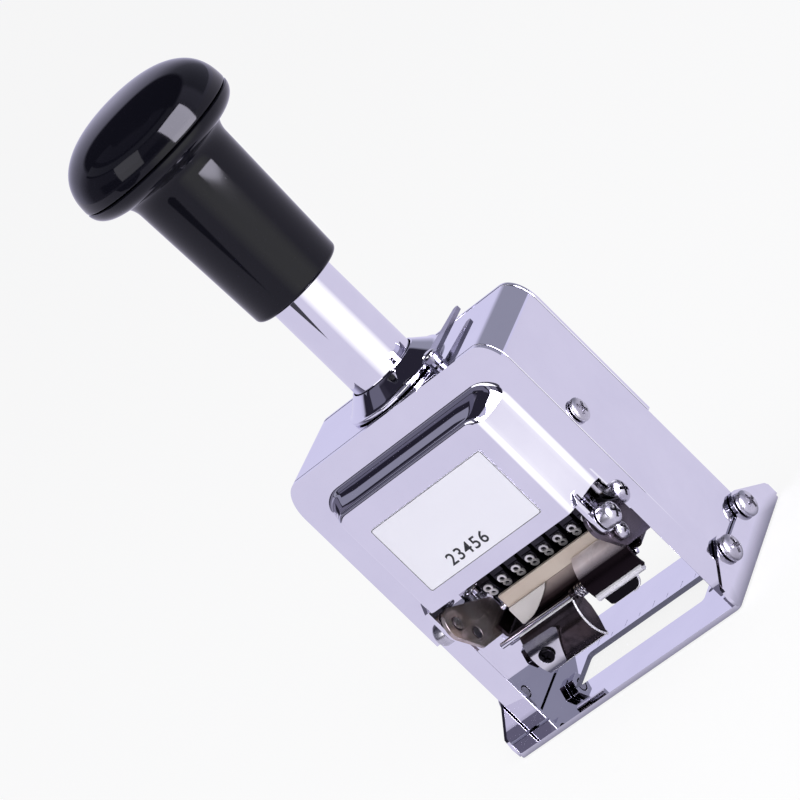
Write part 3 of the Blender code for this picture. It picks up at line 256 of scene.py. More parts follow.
def mouldedFinish(name, look):
    shade = Shade(name)
    tone = shade.spread(shade.noise(mouldedWear["toneSize"], 3), *mouldedWear["toneSpread"])
    pores = shade.noise(mouldedWear["poreSize"], 2)
    return shade.surface({
        "Base Color": shade.mix(tone, look["colour"], look["tone"]), "Metallic": 0.0,
        "Roughness": look["rough"] + tone * mouldedWear["toneRough"],
        "Normal": shade.bump(pores, mouldedWear["poreDepth"], mouldedWear["poreStrength"]),
    })


lacquerLook = {"colour": (0.004, 0.004, 0.007), "dust": (0.020, 0.020, 0.024), "rough": 0.04, "specular": 0.24,
               "dustSize": 1600, "dustSpread": (0.66, 0.80), "dustRough": 0.10, "hazeSize": 38,
               "hazeRough": 0.05, "waveSize": 30, "waveDepth": 0.00003, "waveStrength": 0.5}


def lacquerFinish(name, look):
    shade = Shade(name)
    dust = shade.spread(shade.noise(look["dustSize"], 3, 0.7), *look["dustSpread"])
    haze = shade.noise(look["hazeSize"], 3)
    return shade.surface({
        "Base Color": shade.mix(dust, look["colour"], look["dust"]), "Metallic": 0.0,
        "Roughness": look["rough"] + haze * look["hazeRough"] + dust * look["dustRough"],
        "Specular IOR Level": look["specular"],
        "Normal": shade.bump(shade.noise(look["waveSize"], 1), look["waveDepth"], look["waveStrength"]),
    })


feltLook = {"colour": (0.030, 0.026, 0.055), "patch": (0.060, 0.052, 0.10), "rough": 0.9, "sheen": 0.3,
            "fibreSize": 2600, "fibreDepth": 0.00015, "patchSize": 170, "patchSpread": (0.35, 0.70)}


def feltFinish(name, look):
    shade = Shade(name)
    fibre = shade.noise(look["fibreSize"], 6, 0.8)
    patch = shade.spread(shade.noise(look["patchSize"], 3), *look["patchSpread"])
    return shade.surface({
        "Base Color": shade.mix(patch, look["colour"], look["patch"]), "Roughness": look["rough"],
        "Sheen Weight": look["sheen"], "Normal": shade.bump(fibre, look["fibreDepth"]),
    })


plateLook = {"colour": (0.80, 0.79, 0.86), "tone": (0.76, 0.75, 0.83), "rough": 0.28, "coat": 0.35,
             "coatRough": 0.12, "brushSize": 800, "brushLength": 0.08, "brushRough": 0.12,
             "brushDepth": 0.00001, "brushStrength": 0.4, "toneSize": 30, "toneSpread": (0.35, 0.70)}


def labelFinish(name, look):
    shade = Shade(name)
    brush = shade.noise(look["brushSize"], 3, 0.6, (look["brushLength"], 1, 1))
    tone = shade.spread(shade.noise(look["toneSize"], 2), *look["toneSpread"])
    return shade.surface({
        "Base Color": shade.mix(tone, look["colour"], look["tone"]), "Metallic": 0.0,
        "Roughness": look["rough"] + brush * look["brushRough"], "Coat Weight": look["coat"],
        "Coat Roughness": look["coatRough"],
        "Normal": shade.bump(brush, look["brushDepth"], look["brushStrength"]),
    })


# each finish with the part's material slot that it belongs to
finishes, finishSlot = {}, {}
for name, slotName, finish, look in (
        ("chrome", "chrome", chromeFinish, chromeLook),
        ("steel", "steel", steelFinish, steelLook),
        ("wheelSteel", "wheel_steel", darkFinish, wheelLacquerLook),
        ("figureSteel", "wheel_steel", steelFinish, figureLook),
        ("bronze", "bronze", bronzeFinish, bronzeLook),
        ("darkBronze", "dark_bronze", bronzeFinish, sootLook),
        ("hoodBronze", "bronze", bronzeFinish, hoodLook),
        ("paintedShadeBronze", "bronze", bronzeFinish, shadeSheetLook),
        ("screwSteel", "steel", steelFinish, screwLook),
        ("leverSteel", "steel", steelFinish, bladeLook),
        ("paintedHighlightRim", "steel", steelFinish, highlightRimLook),
        ("armBronze", "bronze", bronzeFinish, shadedArmLook),
        ("darkSteel", "dark_steel", darkFinish, darkSteelLook),
        ("brass", "brass", steelFinish, brassLook),
        ("cream", "cream", mouldedFinish, creamLook),
        ("pale", "cream", mouldedFinish, paleLook),
        ("felt", "felt", feltFinish, feltLook),
        ("label", "label", labelFinish, plateLook),
        ("ink", "label", darkFinish, inkLook),
        ("lacquer", "gloss_black", lacquerFinish, lacquerLook)):
    finishes[name] = finish(name, look)
    finishSlot[name] = slotName

# a CAD solid that no piece replaces wears the first finish of its slot
for part in frame["record"]["subparts"]:
    node = frame["nodes"][part["node"]]
    first = [name for name, slotName in finishSlot.items() if slotName == part["material_slot"]][0]
    node.data.materials.clear()
    node.data.materials.append(finishes[first])
print("finishes made:", len(finishes))


# Mesh helpers

def piece(name, work, finish, body, nodes=(), sharp=35, bevel=0.0, bevelSteps=2):
    mesh = bpy.data.meshes.new(name)
    bmesh.ops.recalc_face_normals(work, faces=work.faces)
    work.to_mesh(mesh)
    work.free()
    mesh.materials.append(finishes[finish])
    made = bpy.data.objects.new(name, mesh)
    bpy.context.scene.collection.objects.link(made)
    mesh.shade_smooth()
    mesh.set_sharp_from_angle(angle=math.radians(sharp))
    if bevel:
        rounding = made.modifiers.new("rounding", "BEVEL")
        rounding.width = bevel
        rounding.segments = bevelSteps
        rounding.limit_method = "ANGLE"
        rounding.angle_limit = math.radians(sharp)
        rounding.harden_normals = True
    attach(made, body)
    if nodes:
        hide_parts(*nodes)
    return made


def turnTo(work, place, towards):
    turn = Vector(towards).to_track_quat("Z", "Y").to_matrix().to_4x4()
    work.transform(Matrix.Translation(place) @ turn)
    return work


def turnedWork(profile, steps=96, place=(0, 0, 0), towards=(0, 0, 1)):
    # profile points are (radius, height); a point on the axis closes the form there, and a profile that
    # ends where it started makes a ring
    work = bmesh.new()
    rings = []
    for radius, height in profile:
        if radius < tiny:
            rings.append([work.verts.new((0, 0, height))])
        else:
            rings.append([work.verts.new((radius * math.cos(math.tau * i / steps),
                                          radius * math.sin(math.tau * i / steps), height))
                          for i in range(steps)])
    for upper, lower in zip(rings, rings[1:]):
        for i in range(steps):
            j = (i + 1) % steps
            quad = [upper[i % len(upper)], upper[j % len(upper)],
                    lower[j % len(lower)], lower[i % len(lower)]]
            unique = list(dict.fromkeys(quad))
            if len(unique) > 2:
                work.faces.new(unique)
    bmesh.ops.remove_doubles(work, verts=work.verts, dist=tiny)
    bmesh.ops.recalc_face_normals(work, faces=work.faces)
    return turnTo(work, place, towards)


def bend(u, v, radius, fromDeg, toDeg, steps=12):
    turns = [math.radians(fromDeg + (toDeg - fromDeg) * i / steps) for i in range(steps + 1)]
    return [(u + radius * math.cos(turn), v + radius * math.sin(turn)) for turn in turns]


def ellipseBend(u, v, across, up, fromDeg, toDeg, steps=12):
    return [(u + across * x, v + up * y) for x, y in bend(0, 0, 1, fromDeg, toDeg, steps)]


def circle(u, v, radius, steps=24):
    return bend(u, v, radius, 0, 360 - 360 / steps, steps - 1)


def stretch(start, end, steps):
    return [tuple(a + (b - a) * i / steps for a, b in zip(start, end)) for i in range(steps + 1)]


def roundedBox(lowU, highU, lowV, highV, radius, steps=8):
    return (bend(highU - radius, highV - radius, radius, 0, 90, steps)
            + bend(lowU + radius, highV - radius, radius, 90, 180, steps)
            + bend(lowU + radius, lowV + radius, radius, 180, 270, steps)
            + bend(highU - radius, lowV + radius, radius, 270, 360, steps))


planes = {"XY": Matrix.Identity(4),
          "YZ": Matrix(((0, 0, 1, 0), (1, 0, 0, 0), (0, 1, 0, 0), (0, 0, 0, 1))),
          "XZ": Matrix(((1, 0, 0, 0), (0, 0, -1, 0), (0, 1, 0, 0), (0, 0, 0, 1)))}


def evaluatedWork(loose):
    graph = bpy.context.evaluated_depsgraph_get()
    work = bmesh.new()
    work.from_mesh(loose.evaluated_get(graph).to_mesh())
    bmesh.ops.remove_doubles(work, verts=work.verts, dist=tiny)
    bmesh.ops.recalc_face_normals(work, faces=work.faces)
    return work


def plateWork(plane, outlines, low, high):
    # a flat outline with holes, from low to high along the axis that the plane leaves out
    curve = bpy.data.curves.new("outline", "CURVE")
    curve.dimensions = "2D"
    curve.fill_mode = "BOTH"
    curve.extrude = abs(high - low) / 2
    for outline in outlines:
        spline = curve.splines.new("POLY")
        spline.points.add(len(outline) - 1)
        for point, (u, v) in zip(spline.points, outline):
            point.co = (u, v, 0, 1)
        spline.use_cyclic_u = True
    loose = bpy.data.objects.new("outline", curve)
    bpy.context.scene.collection.objects.link(loose)
    work = evaluatedWork(loose)
    bpy.data.objects.remove(loose, do_unlink=True)
    bmesh.ops.dissolve_limit(work, angle_limit=nearlyFlat, verts=work.verts, edges=work.edges)
    turn = planes[plane]
    across = Vector([abs(value) for value in turn.to_3x3() @ Vector((0, 0, 1))])
    work.transform(Matrix.Translation(across * (low + high) / 2) @ turn)
    return work


def wireWork(points, radius, detail=3):
    # a round wire along the points
    curve = bpy.data.curves.new("wire", "CURVE")
    curve.dimensions = "3D"
    curve.bevel_depth = radius
    curve.bevel_resolution = detail
    curve.use_fill_caps = True
    spline = curve.splines.new("POLY")
    spline.points.add(len(points) - 1)
    for point, place in zip(spline.points, points):
        point.co = (*place, 1)
    loose = bpy.data.objects.new("wire", curve)
    bpy.context.scene.collection.objects.link(loose)
    work = evaluatedWork(loose)
    bpy.data.objects.remove(loose, do_unlink=True)
    return work


def boxWork(low, high):
    low, high = Vector(low), Vector(high)
    work = bmesh.new()
    bmesh.ops.create_cube(work, size=1)
    bmesh.ops.scale(work, vec=high - low, verts=work.verts)
    bmesh.ops.translate(work, vec=(low + high) / 2, verts=work.verts)
    return work


def drillWork(radius, place, towards=(0, 0, 1), steps=24):
    # a short bar across a wall, to cut a round hole with
    profile = [(0, drillReach), (radius, drillReach), (radius, -drillReach), (0, -drillReach)]
    return turnedWork(profile, steps, place, towards)


def looseObject(work):
    mesh = bpy.data.meshes.new("loose")
    work.to_mesh(mesh)
    work.free()
    loose = bpy.data.objects.new("loose", mesh)
    bpy.context.scene.collection.objects.link(loose)
    return loose


def carve(work, others, operation="DIFFERENCE"):
    base = looseObject(work)
    tools = [looseObject(other) for other in others]
    for tool in tools:
        step = base.modifiers.new(operation, "BOOLEAN")
        step.operation = operation
        step.object = tool
    result = evaluatedWork(base)
    for loose in [base, *tools]:
        bpy.data.objects.remove(loose, do_unlink=True)
    return result


def merge(works):
    # several bodies in one mesh, as they are
    result = bmesh.new()
    for work in works:
        mesh = bpy.data.meshes.new("part")
        work.to_mesh(mesh)
        work.free()
        result.from_mesh(mesh)
        bpy.data.meshes.remove(mesh)
    return result


def corners(node):
    low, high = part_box(node)
    return Vector(low), Vector(high)


def middle(node):
    low, high = corners(node)
    return (low + high) / 2


sides = (("left", -1), ("right", 1))

# the photograph's view: angles in degrees, focal length and shift in picture points, places in mm
view = {"azimuth": 33.051, "elevation": 12.903, "roll": -45.683, "focal": 4866.893, "picture": 800,
        "aimX": -5.506, "aimZ": 75.402, "shiftX": -14.2, "shiftY": 1.8, "distance": 1024.196, "sensor": 36,
        "near": 0.05, "far": 20}


# Handle: a domed cap over a bowl and a tapered neck, all in black lacquer

handle = {"power": 2.55, "trim": 0.45 * mm, "capRings": 44, "seamEdge": 0.35 * mm, "bowlLow": 144.7 * mm,
          "bowlRadius": 15.2 * mm, "neckTop": 140.4 * mm, "neckRadius": 12.5 * mm, "footRadius": 11.4 * mm,
          "footEdge": 1.1 * mm, "steps": 160}


def makeHandle():
    low, high = corners("knob_cap")
    radius = high.x - handle["trim"]
    cap = []
    for i in range(handle["capRings"] + 1):
        turn = math.radians(90 * i / handle["capRings"])
        cap.append((radius * math.sin(turn) ** (2 / handle["power"]),
                    low.z + (high.z - low.z) * math.cos(turn) ** (2 / handle["power"])))
    edge = handle["seamEdge"]
    cap[0] = (0, high.z)
    cap = [point for point in cap if point[1] > low.z + edge]
    cap += bend(radius - edge, low.z + edge, edge, 0, -90, 4) + [(0, low.z)]
    piece("knobCap", turnedWork(cap, handle["steps"]), "lacquer", "plunger", ["knob_cap"])

    foot, seam = corners("handle_neck")
    stemTop = corners("stem")[1]
    bore, boreTop = stemTop.x + fit, stemTop.z + fit
    bowlRadius, footRadius, footEdge = handle["bowlRadius"], handle["footRadius"], handle["footEdge"]
    bowl = ellipseBend(bowlRadius, seam.z, radius - bowlRadius, seam.z - handle["bowlLow"], -4, -90, 18)
    flare = ellipseBend(bowlRadius, handle["neckTop"], bowlRadius - handle["neckRadius"],
                        handle["bowlLow"] - handle["neckTop"], 90, 180, 14)
    neckEdge = bend(footRadius - footEdge, foot.z + footEdge, footEdge, 0, -90, 8)
    neck = ([(0, seam.z), (radius - edge, seam.z)] + bowl + flare[1:] + neckEdge
            + [(bore, foot.z), (bore, boreTop), (0, boreTop)])
    piece("handleNeck", turnedWork(neck, handle["steps"]), "lacquer", "plunger", ["handle_neck"])


stemLook = {"bore": 6.2 * mm, "edge": 0.4 * mm, "steps": 128}


def makeStem():
    low, high = corners("stem")
    outer, bore, edge = high.x, stemLook["bore"], stemLook["edge"]
    rim = bend(outer - edge, high.z - edge, edge, 90, 0, 4)
    foot = bend(outer - edge, low.z + edge, edge, 0, -90, 4)
    profile = [(bore, high.z)] + rim + foot + [(bore, low.z), (bore, high.z)]
    piece("stemTube", turnedWork(profile, stemLook["steps"]), "chrome", "plunger", ["stem"])


collarLook = {"cone": 8.8 * mm, "flangeRise": 0.9 * mm, "edge": 0.2 * mm, "spigot": 9.7 * mm, "bore": 8.25 * mm,
              "notchWidth": 0.9 * mm, "notchDepth": 0.5 * mm, "notchTurn": 8, "steps": 144}


def makeCollar():
    low, high = corners("collar")
    seat = corners("case_shell")[1].z + fit
    flange, edge = high.x, collarLook["edge"]
    cone, bore = collarLook["cone"], collarLook["bore"]
    rise = seat + collarLook["flangeRise"]
    side = stretch((cone, high.z - edge), (flange - edge * 3, rise + edge * 0.5), 8)
    profile = ([(bore, high.z), (cone - edge, high.z)] + side
               + bend(flange - edge, rise - edge, edge, 90, 0, 4)
               + bend(flange - edge, seat + edge, edge, 0, -90, 4)
               + [(collarLook["spigot"], seat), (collarLook["spigot"], low.z), (bore, low.z), (bore, high.z)])
    work = turnedWork(profile, collarLook["steps"])
    width, depth = collarLook["notchWidth"], collarLook["notchDepth"]
    notch = boxWork((-width / 2, -cone - depth, high.z - depth), (width / 2, -bore + depth, high.z + depth))
    notch.transform(Matrix.Rotation(math.radians(view["azimuth"] + collarLook["notchTurn"]), 4, "Z"))
    piece("collarRing", carve(work, [notch]), "chrome", "case", ["collar"])


# Case: one bent sheet with turned-in flanges that form the four legs

caseLook = {"sheet": 1.2 * mm, "across": 4.7 * mm, "down": 7.7 * mm, "flange": 5.4 * mm, "frontTop": 44.0 * mm,
            "backTop": 69.0 * mm, "backFoot": 11.5 * mm, "neckHole": 10.0 * mm, "edge": 0.15 * mm,
            "shoulderSteps": 28}


def archOutline(half, top, across, down, bottom, steps):
    right = [(half, bottom)] + ellipseBend(half - across, top - down, across, down, 0, 90, steps)
    return right + [(-u, v) for u, v in reversed(right)]


def makeCase():
    low, high = corners("case_shell")
    sheet, across, down, steps = (caseLook[key] for key in ("sheet", "across", "down", "shoulderSteps"))
    outer = archOutline(high.x, high.z, across, down, low.z, steps)
    inner = archOutline(high.x - sheet, high.z - sheet, across - sheet, down - sheet, low.z, steps)
    shell = plateWork("XZ", [outer + inner[::-1]], low.y, high.y)
    flanges, cuts = [], []
    for side, sign in sides:
        outerX = sign * (high.x - sheet / 2)
        innerX = sign * (high.x - caseLook["flange"])
        flanges.append(boxWork((min(outerX, innerX), low.y, low.z),
                               (max(outerX, innerX), low.y + sheet, caseLook["frontTop"])))
        flanges.append(boxWork((min(outerX, innerX), high.y - sheet, caseLook["backFoot"]),
                               (max(outerX, innerX), high.y, caseLook["backTop"])))
        for name in (f"foot_screw_{side}_front", f"foot_screw_{side}_back", f"side_screw_{side}"):
            at = middle(name)
            cuts.append(drillWork(screws["bore"], (sign * high.x, at.y, at.z), (1, 0, 0)))
        at = middle(f"back_screw_{side}")
        cuts.append(drillWork(screws["bore"], (at.x, high.y, at.z), (0, 1, 0)))
    cuts.append(drillWork(caseLook["neckHole"], (0, 0, high.z), steps=96))
    at = middle("lever_rivet")
    cuts.append(drillWork(leverLook["bore"], (at.x, at.y, high.z)))
    work = carve(carve(shell, flanges, "UNION"), cuts)
    bmesh.ops.dissolve_limit(work, angle_limit=nearlyFlat, verts=work.verts, edges=work.edges)
    piece("caseShell", work, "chrome", "case", ["case_shell"], bevel=caseLook["edge"], bevelSteps=3)


# Front cover: a flat sheet that swells into the hollow nose, with two lugs for the pad's pivots

cover = {"foot": 29.4 * mm, "sheet": 1.0 * mm, "noseBottom": 38.7 * mm, "baseHalf": 25.5 * mm,
         "baseTop": 70.2 * mm, "flatHalf": 21.2 * mm, "flatTop": 68.0 * mm, "baseCorner": 5.4 * mm,
         "flatCorner": 2.6 * mm, "hollowRadius": 2.4 * mm, "edgeRadius": 2.3 * mm, "sag": 0.4 * mm,
         "labelGap": 0.1 * mm, "legSteps": 6, "cornerSteps": 14, "topSteps": 10, "roundSteps": 12, "slopeSteps": 6,
         "lugIn": 22.2 * mm, "lugOut": 23.2 * mm, "lugRadius": 3.0 * mm, "lugTop": 41.0 * mm,
         "lugShoulder": 39.0 * mm, "lugSlope": 0.4, "tabX": (29.2 * mm, 30.2 * mm), "tabY": (-13.0 * mm, -5.2 * mm),
         "tabZ": (46.9 * mm, 55.9 * mm), "tabCorner": 0.8 * mm}


def noseOutline(half, top, corner):
    # from the lower right over the top to the lower left, always with the same number of points
    right = stretch((half, cover["noseBottom"]), (half, top - corner), cover["legSteps"])[:-1]
    right += bend(half - corner, top - corner, corner, 0, 90, cover["cornerSteps"])
    across = stretch((half - corner, top), (-half + corner, top), cover["topSteps"])[1:-1]
    return right + across + [(-u, v) for u, v in reversed(right)]


def noseSection(depth):
    # share of the way in from the base outline to the flat, against the height over the cover
    slopeIn = cover["baseHalf"] - cover["flatHalf"]
    hollow, edge = cover["hollowRadius"], cover["edgeRadius"]
    run = slopeIn / depth
    lean = math.atan(run)
    reach = math.pi / 2 - lean
    hollowEnd = hollow * math.tan(reach / 2)
    edgeEnd = edge * math.tan(reach / 2)
    points = []
    for i in range(cover["roundSteps"] + 1):
        turn = reach * i / cover["roundSteps"]
        points.append((-hollowEnd + hollow * math.sin(turn), hollow * (1 - math.cos(turn))))
    slopeEnd = (slopeIn + edgeEnd - edge * math.sin(reach), depth - edge * (1 - math.cos(reach)))
    points += stretch(points[-1], slopeEnd, cover["slopeSteps"])[1:-1]
    for i in range(cover["roundSteps"] + 1):
        turn = reach * (1 - i / cover["roundSteps"])
        points.append((slopeIn + edgeEnd - edge * math.sin(turn), depth - edge * (1 - math.cos(turn))))
    return [(inward / slopeIn, height) for inward, height in points]


def makeCover():
    high = corners("front_cover")[1]
    face = corners("case_shell")[0].y - fit - cover["sheet"]
    front = corners("label_plate")[1].y + cover["labelGap"]
    work = bmesh.new()
    rings = []
    for share, height in noseSection(face - front):
        half = cover["baseHalf"] + (cover["flatHalf"] - cover["baseHalf"]) * share
        sag = cover["sag"] * math.sin(math.pi * min(1, max(0, share)))
        top = cover["baseTop"] + (cover["flatTop"] - cover["baseTop"]) * share - sag
        corner = cover["baseCorner"] + (cover["flatCorner"] - cover["baseCorner"]) * share
        rings.append([work.verts.new((u, face - height, v)) for u, v in noseOutline(half, top, corner)])
    base = rings[0]
    count = len(base)
    # the flat sheet round the nose follows the case's arch
    half, top, arch, drop = high.x, high.z, caseLook["across"], caseLook["down"]
    right = stretch((half, cover["noseBottom"]), (half, top - drop), cover["legSteps"])[:-1]
    right += ellipseBend(half - arch, top - drop, arch, drop, 0, 90, cover["cornerSteps"])
    across = stretch((half - arch, top), (-half + arch, top), cover["topSteps"])[1:-1]
    rim = [work.verts.new((u, face, v)) for u, v in right + across + [(-u, v) for u, v in reversed(right)]]
    rings.insert(0, rim)
    for outer, inner in zip(rings, rings[1:]):
        for i in range(count - 1):
            work.faces.new((outer[i], outer[i + 1], inner[i + 1], inner[i]))
    work.faces.new(rings[-1])
    for end, sign in ((0, 1), (count - 1, -1)):
        footOuter = work.verts.new((sign * half, face, cover["foot"]))
        footInner = work.verts.new((base[end].co.x, face, cover["foot"]))
        work.faces.new((rim[end], base[end], footInner, footOuter))
    bmesh.ops.recalc_face_normals(work, faces=work.faces)
    if sum(f.normal.y * f.calc_area() for f in work.faces) > 0:
        bmesh.ops.reverse_faces(work, faces=work.faces)
    shell = looseObject(work)
    skin = shell.modifiers.new("sheet", "SOLIDIFY")
    skin.thickness = cover["sheet"]
    skin.offset = -1
    skin.use_even_offset = True
    solid = evaluatedWork(shell)
    bpy.data.objects.remove(shell, do_unlink=True)
    piece("frontCover", solid, "chrome", "case", ["front_cover"], sharp=38, bevel=0.12 * mm, bevelSteps=2)

    pivot = middle("pivot_screw_left")
    radius, lugTop = cover["lugRadius"], cover["lugTop"]
    outline = (bend(pivot.y, pivot.z, radius, 180, 360, 20)
               + [(pivot.y + radius, lugTop), (pivot.y - radius * cover["lugSlope"], lugTop),
                  (pivot.y - radius, cover["lugShoulder"])])
    bore = circle(pivot.y, pivot.z, screws["pivot"]["bore"])
    for side, sign in sides:
        lug = plateWork("YZ", [outline, bore], sign * cover["lugIn"], sign * cover["lugOut"])
        piece("noseLug_" + side, lug, "chrome", "case", ["front_cover"], bevel=0.15 * mm)
        tab = plateWork("YZ", [roundedBox(*cover["tabY"], *cover["tabZ"], cover["tabCorner"])],
                        *(sign * x for x in cover["tabX"]))
        piece("coverTab_" + side, tab, "chrome", "case", ["front_cover"], bevel=0.15 * mm)


def makeBackCover():
    low, high = corners("back_cover")
    outline = archOutline(high.x, high.z, caseLook["across"], caseLook["down"], low.z,
                          caseLook["shoulderSteps"])
    work = plateWork("XZ", [outline], low.y, high.y)
    piece("backCover", work, "chrome", "case", ["back_cover"], bevel=0.2 * mm, bevelSteps=3)


# Label: a pale plate with a thin dark line painted round its edge as shade, and plain figures

labelLook = {"line": 0.14 * mm, "inset": 0.056 * mm, "corner": 0.5 * mm, "figures": "23456", "height": 3.05 * mm,
             "right": 13.6 * mm, "low": 1.75 * mm, "weight": 0.012, "spacing": 1.12, "thickness": 0.01 * mm}


def textWork(body, height, depth, detail=6, weight=0.0, spacing=1.0):
    # figures as a mesh, standing on the XY plane with their lower left at the origin
    curve = bpy.data.curves.new("figures", "FONT")
    curve.body = body
    curve.resolution_u = detail
    curve.extrude = depth / 2
    curve.offset = weight
    curve.space_character = spacing
    loose = bpy.data.objects.new("figures", curve)
    bpy.context.scene.collection.objects.link(loose)
    work = evaluatedWork(loose)
    bpy.data.objects.remove(loose, do_unlink=True)
    lowX = min(v.co.x for v in work.verts)
    lowY = min(v.co.y for v in work.verts)
    scale = height / (max(v.co.y for v in work.verts) - lowY)
    for vert in work.verts:
        vert.co = ((vert.co.x - lowX) * scale, (vert.co.y - lowY) * scale, vert.co.z)
    return work


def makeLabel():
    low, high = corners("label_plate")
    printed, line, corner = labelLook["thickness"], labelLook["line"], labelLook["corner"]
    plate = plateWork("XZ", [roundedBox(low.x, high.x, low.z, high.z, corner)], low.y + printed, high.y)
    piece("labelPlate", plate, "label", "case", ["label_plate"], bevel=0.04 * mm)
    # a thin dark line round the plate's edge is painted shade where the plate meets the cover
    edgeShades = [roundedBox(low.x + inset, high.x - inset, low.z + inset, high.z - inset, corner)
               for inset in (labelLook["inset"], labelLook["inset"] + line)]
    ring = plateWork("XZ", [edgeShades[0], edgeShades[1][::-1]], low.y, low.y + printed)
    piece("labelEdgeShade", ring, "ink", "case", ["label_plate"])
    figures = textWork(labelLook["figures"], labelLook["height"], printed, weight=labelLook["weight"],
                       spacing=labelLook["spacing"])
    wide = max(v.co.x for v in figures.verts)
    place = (high.x - labelLook["right"] - wide, low.y + printed / 2, low.z + labelLook["low"])
    figures.transform(Matrix.Translation(place) @ planes["XZ"])
    piece("labelFigures", figures, "ink", "case", ["label_plate"])


# Screws: domed heads with a cross recess, made in one place and set where the frame has them

screws = {"foot": {"radius": 3.1 * mm, "dome": 1.9 * mm, "reach": 4.6 * mm},
          "side": {"radius": 2.8 * mm, "dome": 1.2 * mm, "reach": 3.2 * mm},
          "back": {"radius": 2.2 * mm, "dome": 1.0 * mm, "reach": 3.0 * mm},
          "arm": {"radius": 2.1 * mm, "dome": 1.6 * mm, "reach": 1.4 * mm, "spin": 25},
          "grip": {"radius": 1.8 * mm, "dome": 0.8 * mm, "reach": 3.0 * mm, "spin": 20},
          "pivot": {"radius": 2.7 * mm, "dome": 3.6 * mm, "shank": 1.4 * mm, "reach": 2.9 * mm, "rim": 0.58,
                    "bore": 1.7 * mm, "spin": {"left": 75, "right": 40}},
          "shank": 1.25 * mm, "bore": 1.55 * mm, "nut": 3.1 * mm, "rim": 0.35, "edge": 0.15 * mm,
          "spinFrom": 10, "footSpin": 27, "bodySpin": 31}
# the cross recess, in shares of the head's radius and dome; it narrows towards its floor
recess = {"long": 0.64, "wide": 0.15, "floor": 0.12, "top": 1.5, "floorLong": 0.82, "floorWide": 0.9}


def screwWork(look, steps=48):
    radius, dome = look["radius"], look["dome"]
    rim = dome * look.get("rim", screws["rim"])
    edge = min(screws["edge"], rim * 0.5)
    shank, reach = look.get("shank", screws["shank"]), look["reach"]
    profile = [(0, dome)] + [(radius * math.sin(math.radians(turn)),
                              rim + (dome - rim) * math.cos(math.radians(turn))) for turn in range(6, 91, 6)]
    profile += bend(radius - edge, edge, edge, 0, -90, 3) + [(shank, 0), (shank, -reach), (0, -reach)]
    work = turnedWork(profile, steps)
    long, wide = radius * recess["long"], radius * recess["wide"]
    arms = []
    for spin in (0, 90):
        arm = boxWork((-long, -wide, dome * recess["floor"]), (long, wide, dome * recess["top"]))
        for vert in arm.verts:
            if vert.co.z < dome:
                vert.co.x *= recess["floorLong"]
                vert.co.y *= recess["floorWide"]
        arm.transform(Matrix.Rotation(math.radians(spin), 4, "Z"))
        arms.append(arm)
    return carve(work, arms)


def setScrew(name, nodeName, look, place, towards, finish, body, spin):
    work = screwWork(look)
    work.transform(Matrix.Rotation(math.radians(spin), 4, "Z"))
    turnTo(work, place, towards)
    piece(name, work, finish, body, [nodeName], bevel=0.05 * mm, sharp=32)


def sideHead(nodeName, look, sign):
    # where the underside of a sideways head sits
    low, high = corners(nodeName)
    at = (low + high) / 2
    at.x = high.x - look["dome"] if sign > 0 else low.x + look["dome"]
    return at


def makeScrews():
    spin = screws["spinFrom"]
    for side, sign in sides:
        for end in ("front", "back"):
            name, look = f"foot_screw_{side}_{end}", screws["foot"]
            spin += screws["footSpin"]
            setScrew(f"footScrew_{side}_{end}", name, look, sideHead(name, look, sign), (sign, 0, 0),
                     "screwSteel", "case", spin)
            nut = f"foot_nut_{side}_{end}"
            low, high = corners(nut)
            at = middle(nut)
            outlines = [circle(at.y, at.z, screws["nut"], 6), circle(at.y, at.z, screws["bore"])]
            piece(f"footNut_{side}_{end}", plateWork("YZ", outlines, low.x, high.x), "chrome", "case", [nut],
                  bevel=0.2 * mm)
        name, look = "side_screw_" + side, screws["side"]
        spin += screws["bodySpin"]
        setScrew("sideScrew_" + side, name, look, sideHead(name, look, sign), (sign, 0, 0), "screwSteel", "case",
                 spin)
        name, look = "back_screw_" + side, screws["back"]
        at = middle(name)
        at.y = corners(name)[1].y - look["dome"]
        spin += screws["bodySpin"]
        setScrew("backScrew_" + side, name, look, at, (0, 1, 0), "screwSteel", "case", spin)


def makePivotScrews():
    look = screws["pivot"]
    for side, sign in sides:
        name = "pivot_screw_" + side
        setScrew("pivotScrew_" + side, name, look, sideHead(name, look, sign), (sign, 0, 0), "screwSteel", "case",
                 look["spin"][side])


# Foot: the plate with its print window, ears bent up along the case and a ruled back bar

# an ear's corners lie so far in from the plate's edge and so high
footLook = {"thick": 1.2 * mm, "corner": 1.2 * mm, "windowX": 19.5 * mm, "windowFront": -7.5 * mm,
            "windowBack": 6.3 * mm, "windowCorner": 1.0 * mm, "holeX": 21.1 * mm, "holeY": -4.9 * mm,
            "holeRadius": 0.8 * mm, "edge": 0.22 * mm, "earIn": 32.0 * mm, "earLobe": 3.8 * mm,
            "earFront": ((0.3 * mm, 0.6 * mm), (0, 3.0 * mm), (0.6 * mm, 5.6 * mm)),
            "earBack": ((0.8 * mm, 4.4 * mm), (0, 3.3 * mm), (0, 0.6 * mm)), "tickWidth": 0.16 * mm,
            "tickDepth": 0.12 * mm, "tickPitch": 4.24 * mm, "tickGap": 0.9 * mm, "tickLong": 2.4 * mm,
            "tickShort": 1.5 * mm, "ticksEachSide": 4}


